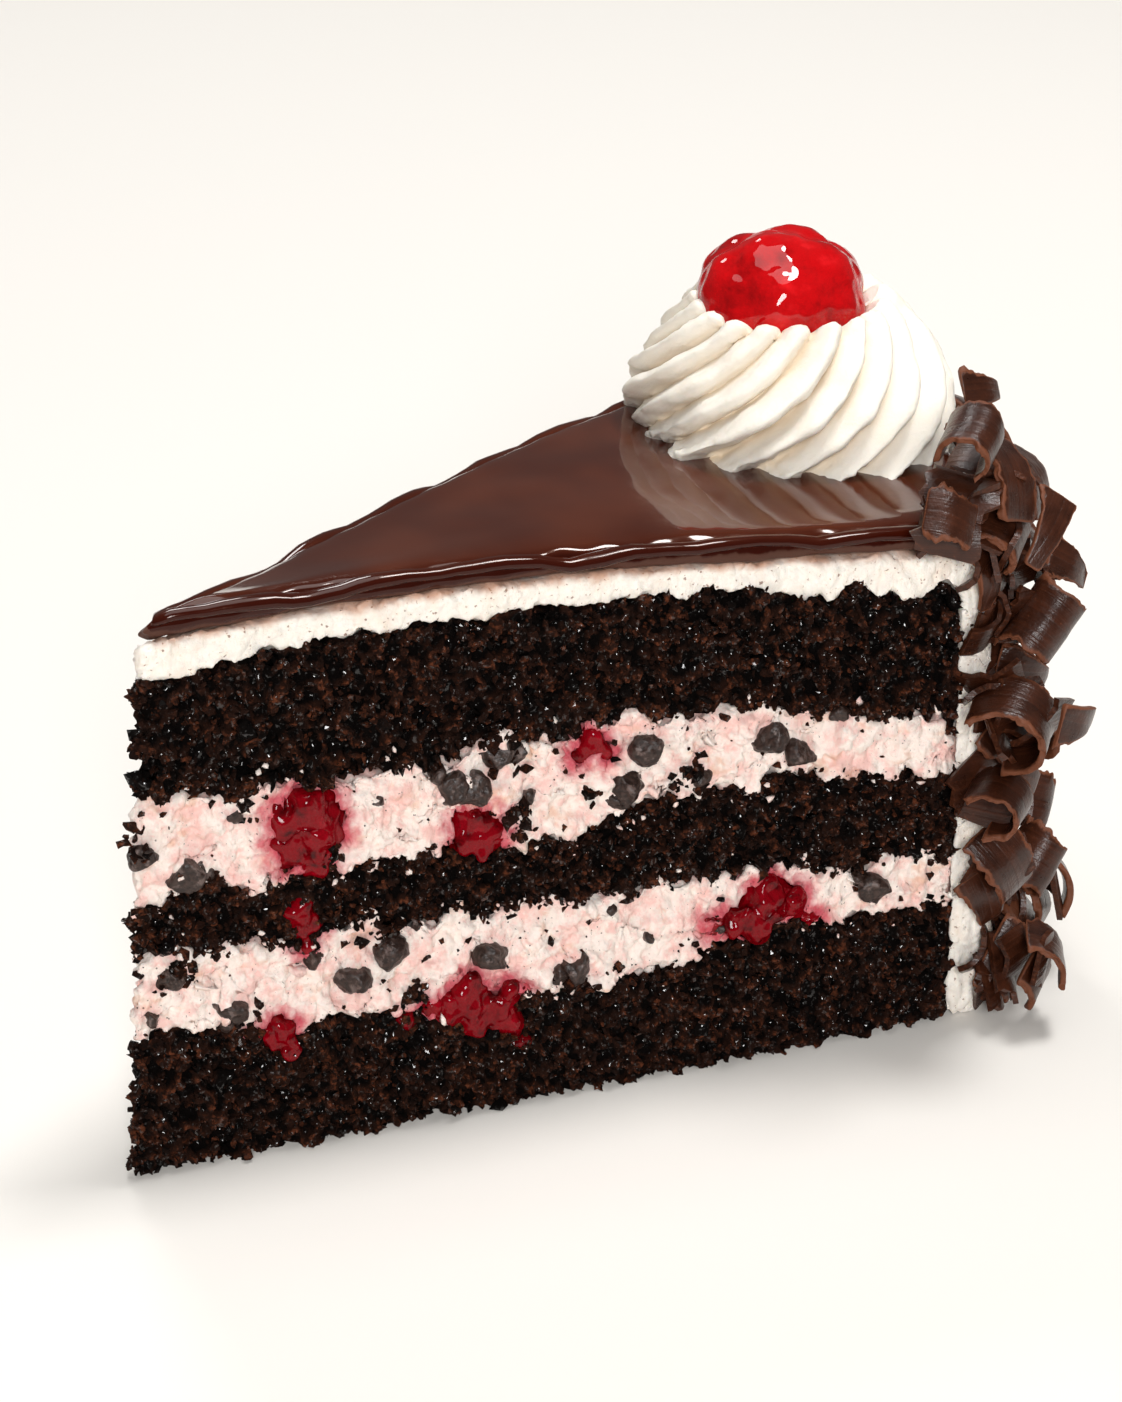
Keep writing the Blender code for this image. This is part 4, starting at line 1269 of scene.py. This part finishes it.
@dataclass
class Rosette:
    """Cream piped round with a star nozzle: sharp ridges that turn as they rise, with narrow creases."""

    ridges: int = 18
    per_ridge: int = 14
    levels: int = 44
    depth: float = 0.20
    twist_deg: float = 68.0
    lean: float = 1.35
    profile: tuple[tuple[float, float], ...] = (
        (19.3, -0.8), (19.8, 1.2), (19.9, 4.0), (19.4, 7.0), (17.8, 9.8), (15.5, 12.4), (13.4, 14.4),
        (12.0, 15.6), (10.9, 15.6), (9.6, 14.0),
    )
    twist_over_mm: float = 16.0
    foot_depth: float = 0.75
    deepest_mm: float = 20.0
    lip_from: float = 0.72
    lip_depth: float = 0.8
    uneven_share: float = 0.045
    level_over_mm: float = 9.0
    hub_mm: float = 10.0
    peaks_mm: float = 1.7
    shift: tuple[float, float] = (-2.2, -2.1)

    def build(self) -> Thing:
        """Builds and dresses the rosette.

        Returns:
            The rosette.
        """
        low, high = (np.array(corner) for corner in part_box("rosette"))
        rosette = tube("piped_rosette", self.ridges * self.per_ridge, self.levels, "TRIFAN")
        points = corners(rosette)
        share = (points[:, 2] + 1.0) / 2.0
        angle = np.arctan2(points[:, 1], points[:, 0]) % (2.0 * math.pi)
        hub = np.hypot(points[:, 0], points[:, 1]) < 0.5
        ridge = self.ridge(angle)
        middle = (low + high) / 2 + np.array((*self.shift, 0.0)) * MM
        move_corners(rosette, self.piped(share, angle, ridge, hub, middle))
        # Painted shade mask: 1 in the creases between ridges, where the cream is painted darker.
        carry(rosette, "crease", 1.0 - ridge)
        Relief("CLOUDS", 6.0, 1.2, 0.5, (("noise_depth", 1),)).press(rosette)
        foot = rosette.vertex_groups.new(name="foot")
        foot.add(np.flatnonzero(share < 0.12).tolist(), 1.0, "REPLACE")
        foot.add(np.flatnonzero((share >= 0.12) & (share < 0.22)).tolist(), 0.4, "REPLACE")
        lumpy = Relief("CLOUDS", 1.4, 1.1, 0.4, (("noise_depth", 2), ("noise_type", "HARD_NOISE")))
        lumpy.press(rosette, "foot")
        Relief("CLOUDS", 1.1, 0.42, 0.5, (("noise_depth", 3),)).press(rosette)
        return hand_over(rosette, CreamFinish().make(), nodes=["rosette"])

    def ridge(self, angle: np.ndarray) -> np.ndarray:
        """How near each direction is to the crest of its ridge: 1 on the crest and 0 in the crease."""
        way = (self.ridges * angle / (2.0 * math.pi)) % 1.0
        return np.clip(1.0 - np.abs(2.0 * way**self.lean - 1.0) ** 1.7, 0.0, 1.0) ** 0.8

    def piped(self, share: np.ndarray, angle: np.ndarray, ridge: np.ndarray, hub: np.ndarray,
              middle: np.ndarray) -> np.ndarray:
        """The ridged dome.

        Args:
            share: how far up the outside each vertex is, 0 at the foot and 1 at the lip.
            angle: its direction.
            ridge: how near it is to the crest of its ridge.
            hub: whether it is in the middle of an end.
            middle: the middle of the rosette.

        Returns:
            The vertices.
        """
        profile = np.array(self.profile)
        steps = np.linspace(0.0, 1.0, len(profile))
        radius, rise = np.interp(share, steps, profile[:, 0]), np.interp(share, steps, profile[:, 1])
        turn = np.interp(share, steps, profile[:, 1] / self.twist_over_mm)
        turned = angle + math.radians(self.twist_deg) * turn
        number = np.floor(self.ridges * angle / (2.0 * math.pi)).astype(int) % self.ridges
        uneven = np.random.default_rng(5).uniform(-1.0, 1.0, self.ridges)[number] * ridge
        depth = self.depth * np.clip(self.foot_depth + rise / self.deepest_mm, 0.0, 1.0)
        depth = depth * np.where(share > self.lip_from, self.lip_depth, 1.0)
        reach = radius * (1.0 - depth * (1.0 - ridge)) * (1.0 + self.uneven_share * uneven)
        crest = self.peaks_mm * (ridge - 0.6) * np.clip(share * 1.25, 0.0, 1.0) ** 3 * (1.0 + 0.45 * uneven)
        reach, crest = np.where(hub, 0.0, reach), np.where(hub, 0.0, crest)
        x, y = middle[0] + reach * np.cos(turned) * MM, middle[1] + reach * np.sin(turned) * MM
        glaze = solid_of("glaze")
        centre = glaze.ray_cast(Vector((middle[0], middle[1], 1.0)), DOWN)[0].z
        hits = [glaze.ray_cast(Vector((a, b, 1.0)), DOWN)[0] for a, b in zip(x, y)]
        foot = np.array([centre - 1.0 * MM if hit is None else hit.z for hit in hits])
        level = np.clip(rise / self.level_over_mm, 0.0, 1.0)
        ground = (1.0 - level) * foot + level * centre
        rise = np.where(hub & (share > 0.5), self.hub_mm, rise)
        return np.stack([x, y, ground + (rise + crest) * MM], axis=1)


@dataclass
class TopCherry:
    """The candied cherry pressed into the rosette: overlapping lobes under syrup."""

    sink_mm: float = 2.1
    shift: tuple[float, float] = (-0.9, -1.2)
    fit: tuple[float, float, float] = (1.06, 1.06, 1.0)
    lobes: tuple[tuple[float, float, float, float], ...] = (
        (-118.0, 26.0, 0.44, 0.60),
        (-62.0, 40.0, 0.44, 0.56),
        (-14.0, 26.0, 0.46, 0.54),
        (-150.0, 66.0, 0.40, 0.60),
        (35.0, 52.0, 0.44, 0.56),
        (172.0, 30.0, 0.44, 0.56),
        (108.0, 34.0, 0.44, 0.56),
        (-75.0, -6.0, 0.26, 0.74),
        (100.0, -10.0, 0.26, 0.74),
        (10.0, -5.0, 0.26, 0.72),
        (-165.0, -5.0, 0.26, 0.72),
    )
    hardness: float = 55.0

    def build(self) -> Thing:
        """Builds and dresses the cherry.

        Returns:
            The cherry.
        """
        low, high = (np.array(corner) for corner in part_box("cherry"))
        cherry = ball("candied_cherry", 6, 1.0)
        unit = corners(cherry)
        outs = []
        for azimuth, height, away, size in self.lobes:
            a, h = math.radians(azimuth), math.radians(height)
            centre = np.array((math.cos(h) * math.cos(a), math.cos(h) * math.sin(a), math.sin(h))) * away
            along = unit @ centre
            outs.append(along + np.sqrt(along**2 - away**2 + size**2))
        outs = np.array(outs)
        reach = np.log(np.exp(outs * self.hardness).sum(axis=0)) / self.hardness
        shape = unit * reach[:, None]
        shape = shape / (shape.max(axis=0) - shape.min(axis=0)) * (high - low) * np.array(self.fit)
        centring = (low + high) / 2 - (shape.max(axis=0) + shape.min(axis=0)) / 2
        shape += centring + np.array((*self.shift, -self.sink_mm)) * MM
        move_corners(cherry, shape)
        Relief("CLOUDS", 3.0, 0.8, 0.5, (("noise_depth", 1),)).press(cherry)
        alter(cherry, "SMOOTH", factor=0.5, iterations=3)
        return hand_over(cherry, CherryFinish().make(), nodes=["cherry"])


@dataclass(frozen=True)
class Flake:
    """What the small shavings of one kind are like: sizes in millimetres, bow in radians."""

    long_mm: tuple[float, float]
    wide_mm: tuple[float, float]
    thick_mm: float
    along: int
    across: int
    tilt: float
    seed: int
    shapes: int = 8
    bow: tuple[float, float] = (0.7, 2.2)


@dataclass
class Curls:
    """The chocolate shavings on the wall and rim: thin, smooth on their faces and broken at their edges."""

    levels: int = 3
    rim_mm: float = 1.15
    ragged_mm: float = 1.0
    edge_mm: float = 0.26
    warp: Relief = Relief("CLOUDS", 7.0, 0.9, 0.5)
    perched: str = "curl_26"
    perch_drop_mm: float = 1.3
    small: Flake = Flake(
        long_mm=(5.0, 9.5), wide_mm=(4.0, 6.5), thick_mm=0.6, along=6, across=3, tilt=0.28, seed=200,
    )
    small_count: int = 240
    small_lift_mm: tuple[float, float] = (0.5, 1.9)
    backing: Flake = Flake(
        long_mm=(6.0, 9.5), wide_mm=(5.0, 8.0), thick_mm=0.7, along=7, across=4, tilt=0.45, seed=240,
        shapes=12,
    )
    backing_apart_mm: float = 2.6
    backing_clear_mm: tuple[float, float] = (1.4, 1.5)
    backing_stray_mm: tuple[float, float, float] = (0.6, 0.6, 1.2)

    def build(self) -> None:
        """Builds and dresses the curls, and the small flakes between them."""
        finish = CurlFinish().make()
        middles = []
        for node in sorted(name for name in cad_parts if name.startswith("curl")):
            alone = node.startswith("curl_")
            curl = copy_of(node, f"shaved_{node}")
            if node == self.perched:
                move_corners(curl, corners(curl) - np.array((0.0, 0.0, self.perch_drop_mm * MM)))
            axis, middle = self.axis_of(curl)
            if alone:
                middles.append(middle)
            crease_sharp(curl, join_deg=50.0, sharp_deg=55.0, crease=0.8)
            self.number_rim(curl)
            levels = self.levels if alone else self.levels - 1
            alter(curl, "SUBSURF", levels=levels, render_levels=levels)
            self.finish_curl(curl, axis, middle)
            hand_over(curl, finish, nodes=[node])
        flakes = self.stick("small_flakes", self.small, *self.wall_spots())
        hand_over(flakes, finish, smooth=None)
        backing = self.stick("backing_curls", self.backing, *self.backing_spots(middles))
        hand_over(backing, finish, smooth=None)

    def number_rim(self, curl: Thing) -> None:
        """Numbers the narrow faces of a shaving's rim 1 and all others 0."""
        for polygon in curl.data.polygons:
            ends = [curl.data.vertices[n].co for n in polygon.vertices]
            shortest = min((ends[n] - ends[n - 1]).length for n in range(len(ends)))
            polygon.material_index = int(shortest < self.rim_mm * MM)

    def finish_curl(self, curl: Thing, axis: np.ndarray, middle: np.ndarray) -> None:
        """Warps and frays a shaving, and stores what its material reads.

        Args:
            curl: the shaving, its rim's faces numbered 1.
            axis: the line that it is rolled round.
            middle: its middle.
        """
        rims = {n for polygon in curl.data.polygons if polygon.material_index for n in polygon.vertices}
        curl.data.polygons.foreach_set("material_index", np.zeros(len(curl.data.polygons), dtype=np.int32))
        points = corners(curl)
        rim = tree_of(points[sorted(rims)] if rims else points[:1])
        far = np.array([rim.find(point)[2] for point in points])
        self.warp.press(curl)
        self.fray(curl, axis, middle)
        carry(curl, "edge", np.clip(1.15 - far / (self.edge_mm * MM), 0.0, 1.0))
        carry(curl, "across", (corners(curl) - middle) @ axis / MM)

    def axis_of(self, curl: Thing) -> tuple[np.ndarray, np.ndarray]:
        """The line that a shaving is rolled round.

        Args:
            curl: the shaving.

        Returns:
            The line's direction and the shaving's middle.
        """
        areas = np.array([polygon.area for polygon in curl.data.polygons])
        _, normals = face_places(curl)
        spread = (normals * areas[:, None] ** 2).T @ normals
        return np.linalg.eigh(spread)[1][:, 0], corners(curl).mean(axis=0)

    def fray(self, curl: Thing, axis: np.ndarray, middle: np.ndarray) -> None:
        """Breaks a shaving's long edges, so that they run unevenly."""
        points = corners(curl)
        across = (points - middle) @ axis
        widest = np.abs(across).max()
        near_edge = np.clip((np.abs(across) / widest - 0.55) / 0.45, 0.0, 1.0)
        coarse = np.array([noise.noise(Vector(point) / (1.5 * MM)) for point in points])
        fine = np.array([noise.noise(Vector(point) / (0.55 * MM)) for point in points])
        shift = (coarse + 0.6 * fine) * near_edge * self.ragged_mm * MM
        move_corners(curl, points + axis * shift[:, None])

    def flake(self, kind: Flake, seed: int) -> tuple[np.ndarray, np.ndarray, np.ndarray]:
        """One curved flake about the origin, its hollow side down.

        Args:
            kind: what flakes of its kind are like.
            seed: what makes it unlike the others.

        Returns:
            Its vertices in millimetres, its faces, and which vertices lie on its edge.
        """
        draw = np.random.default_rng(seed)
        bpy.ops.object.select_all(action="DESELECT")
        bpy.ops.mesh.primitive_grid_add(x_subdivisions=kind.along, y_subdivisions=kind.across, size=1.0)
        thing = bpy.context.object
        points = corners(thing)
        edge = (np.abs(points[:, :2]).max(axis=1) > 0.49).astype(float)
        length, width = draw.uniform(*kind.long_mm), draw.uniform(*kind.wide_mm)
        bow = draw.uniform(*kind.bow)
        angle = points[:, 0] * bow
        taper = 1.0 - 0.5 * (points[:, 0] + 0.5) * draw.random()
        ragged = draw.uniform(-0.10, 0.10, len(points)) * edge
        move_corners(thing, np.stack([np.sin(angle) * length / bow, (points[:, 1] * taper + ragged) * width,
                                      (np.cos(angle) - 1.0) * length / bow], axis=1))
        alter(thing, "SOLIDIFY", thickness=kind.thick_mm, offset=0.0)
        points, faces = corners(thing), np.array([face.vertices[:] for face in thing.data.polygons])
        bpy.data.meshes.remove(thing.data)
        return points, faces, np.tile(edge, 2)

    def stick(self, name: str, kind: Flake, spots: np.ndarray, outs: np.ndarray) -> Thing:
        """Sets one flake on each spot.

        Args:
            name: the name of the flakes' object.
            kind: what they are like.
            spots: where they go.
            outs: which way each spot looks.

        Returns:
            All the flakes as one object.
        """
        draw = np.random.default_rng(kind.seed)
        shapes = [self.flake(kind, kind.seed + n) for n in range(kind.shapes)]
        points, faces, edges, total = [], [], [], 0
        for n, spot in enumerate(spots):
            flake, sides, edge = shapes[n % kind.shapes]
            out = outs[n] + draw.normal(size=3) * kind.tilt
            out /= np.linalg.norm(out)
            way = np.cross(out, draw.normal(size=3))
            way /= np.linalg.norm(way)
            placed = flake @ np.stack([way, np.cross(out, way), out]) * MM + spot
            placed[:, 2] += max(0.0, 0.2 * MM - placed[:, 2].min())
            points.append(placed)
            edges.append(edge)
            faces.append(sides + total)
            total += len(flake)
        thing = made_of(name, np.concatenate(points), np.concatenate(faces))
        carry(thing, "across", corners(thing)[:, 2] / MM)
        carry(thing, "edge", np.concatenate(edges) * 0.55)
        only(thing)
        bpy.ops.object.shade_smooth_by_angle(angle=math.radians(40.0))
        return thing

    def wall_spots(self) -> tuple[np.ndarray, np.ndarray]:
        """Places of the small flakes, spread evenly over the cream of the back wall.

        Returns:
            The places and the directions that the wall looks in.
        """
        draw = np.random.default_rng(self.small.seed + 100)
        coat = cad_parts["cream_coat"]
        middles, normals = face_places(coat)
        inside = np.maximum.reduce([side.proud(middles) for side in Side]) / MM
        wall = np.flatnonzero((normals[:, 0] * 0.9 > np.abs(normals[:, 2])) & (inside < -1.5))
        areas = np.array([coat.data.polygons[int(n)].area for n in wall])
        picks = draw.choice(wall, self.small_count, p=areas / areas.sum())
        spots = []
        for pick in picks:
            ends = np.array([coat.data.vertices[v].co[:] for v in coat.data.polygons[int(pick)].vertices])
            place = draw.dirichlet(np.ones(len(ends))) @ ends
            spots.append(place + normals[pick] * draw.uniform(*self.small_lift_mm) * MM)
        return np.array(spots), normals[picks]

    def backing_spots(self, middles: list[np.ndarray]) -> tuple[np.ndarray, np.ndarray]:
        """Places of the shavings between the cream and the curls that stand out from it.

        Args:
            middles: the middles of the curls.

        Returns:
            The places and the directions from the cream out.
        """
        draw = np.random.default_rng(self.backing.seed + 100)
        coat = solid_of("cream_coat")
        spots, outs = [], []
        for middle in middles:
            foot = np.array(coat.find_nearest(middle)[0])
            gap = np.linalg.norm(middle - foot)
            out = (middle - foot) / gap
            first, last = self.backing_clear_mm[0] * MM, gap - self.backing_clear_mm[1] * MM
            for share in np.arange(first, last, self.backing_apart_mm * MM) / gap:
                stray = draw.normal(size=3) * np.array(self.backing_stray_mm) * MM
                spots.append(foot + (middle - foot) * share + stray)
                outs.append(out)
        return np.array(spots), np.array(outs)


@dataclass(frozen=True)
class Lamp:
    """One soft round light: its place and width in metres, and its power in watts."""

    name: str
    place: tuple[float, float, float]
    wide: float
    power: float
    aim: tuple[float, float, float] = (0.0, 0.0, 0.04)

    def build(self) -> None:
        """Sets the light up, looking at the slice."""
        turn = (Vector(self.aim) - Vector(self.place)).to_track_quat("-Z", "Y").to_euler()
        bpy.ops.object.light_add(type="AREA", location=self.place, rotation=turn)
        light = bpy.context.object
        light.name = self.name
        light.data.shape = "DISK"
        light.data.size = self.wide
        light.data.energy = self.power


@dataclass
class Studio:
    """Pale floor, soft lights and the camera."""

    floor_colour: Colour = (0.79, 0.758, 0.712)
    sky_colour: Colour = (1.0, 0.985, 0.96)
    sky_strength: float = 0.12
    lamps: tuple[Lamp, ...] = (
        Lamp("overhead", (0.0, 0.10, 1.60), 1.2, 9.5),
        Lamp("crown", (0.37, -0.06, 1.20), 0.32, 8.2),
        Lamp("front", (-0.50, -0.80, 0.55), 0.34, 7.8),
        Lamp("back", (0.25, 0.85, 0.95), 0.32, 3.2),
    )
    eye: tuple[float, float, float] = (-0.19047, -0.26948, 0.20888)
    pitch_deg: float = 63.0
    heading_deg: float = -34.7745
    lens_mm: float = 79.6

    def build(self) -> None:
        """Sets the floor, the world, the lights and the camera."""
        bpy.ops.object.select_all(action="DESELECT")
        bpy.ops.mesh.primitive_plane_add(size=6.0)
        floor = bpy.context.object
        floor.name = "floor"
        paint = Paint("pale_floor")
        paint.set(Base_Color=self.floor_colour, Roughness=0.9, Specular_IOR_Level=0.1)
        floor.data.materials.append(paint.material)
        world = bpy.data.worlds.new("studio")
        world.use_nodes = True
        background = world.node_tree.nodes["Background"]
        background.inputs["Color"].default_value = (*self.sky_colour, 1.0)
        background.inputs["Strength"].default_value = self.sky_strength
        bpy.context.scene.world = world
        for lamp in self.lamps:
            lamp.build()
        bpy.context.scene.view_settings.view_transform = "Standard"
        turn = (math.radians(self.pitch_deg), 0.0, math.radians(self.heading_deg))
        bpy.ops.object.camera_add(location=self.eye, rotation=turn)
        camera = bpy.context.object
        camera.data.lens = self.lens_mm
        camera.data.sensor_width = 36.0
        camera.data.clip_start = 0.01
        bpy.context.scene.camera = camera


def main() -> None:
    """Builds the whole slice."""
    logging.basicConfig(level=logging.INFO, format="%(name)s: %(message)s")
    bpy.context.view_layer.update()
    Studio().build()
    crumb = SpongeFinish().make()
    fruit = FruitPieces().build()
    sponge = Sponges().build(crumb)
    chip = ChipFinish().make()
    Fillings().build(fruit, sponge, chip, crumb)
    Coat().build()
    Glaze().build()
    Rosette().build()
    TopCherry().build()
    Curls().build()


if __name__ == "__main__":
    main()
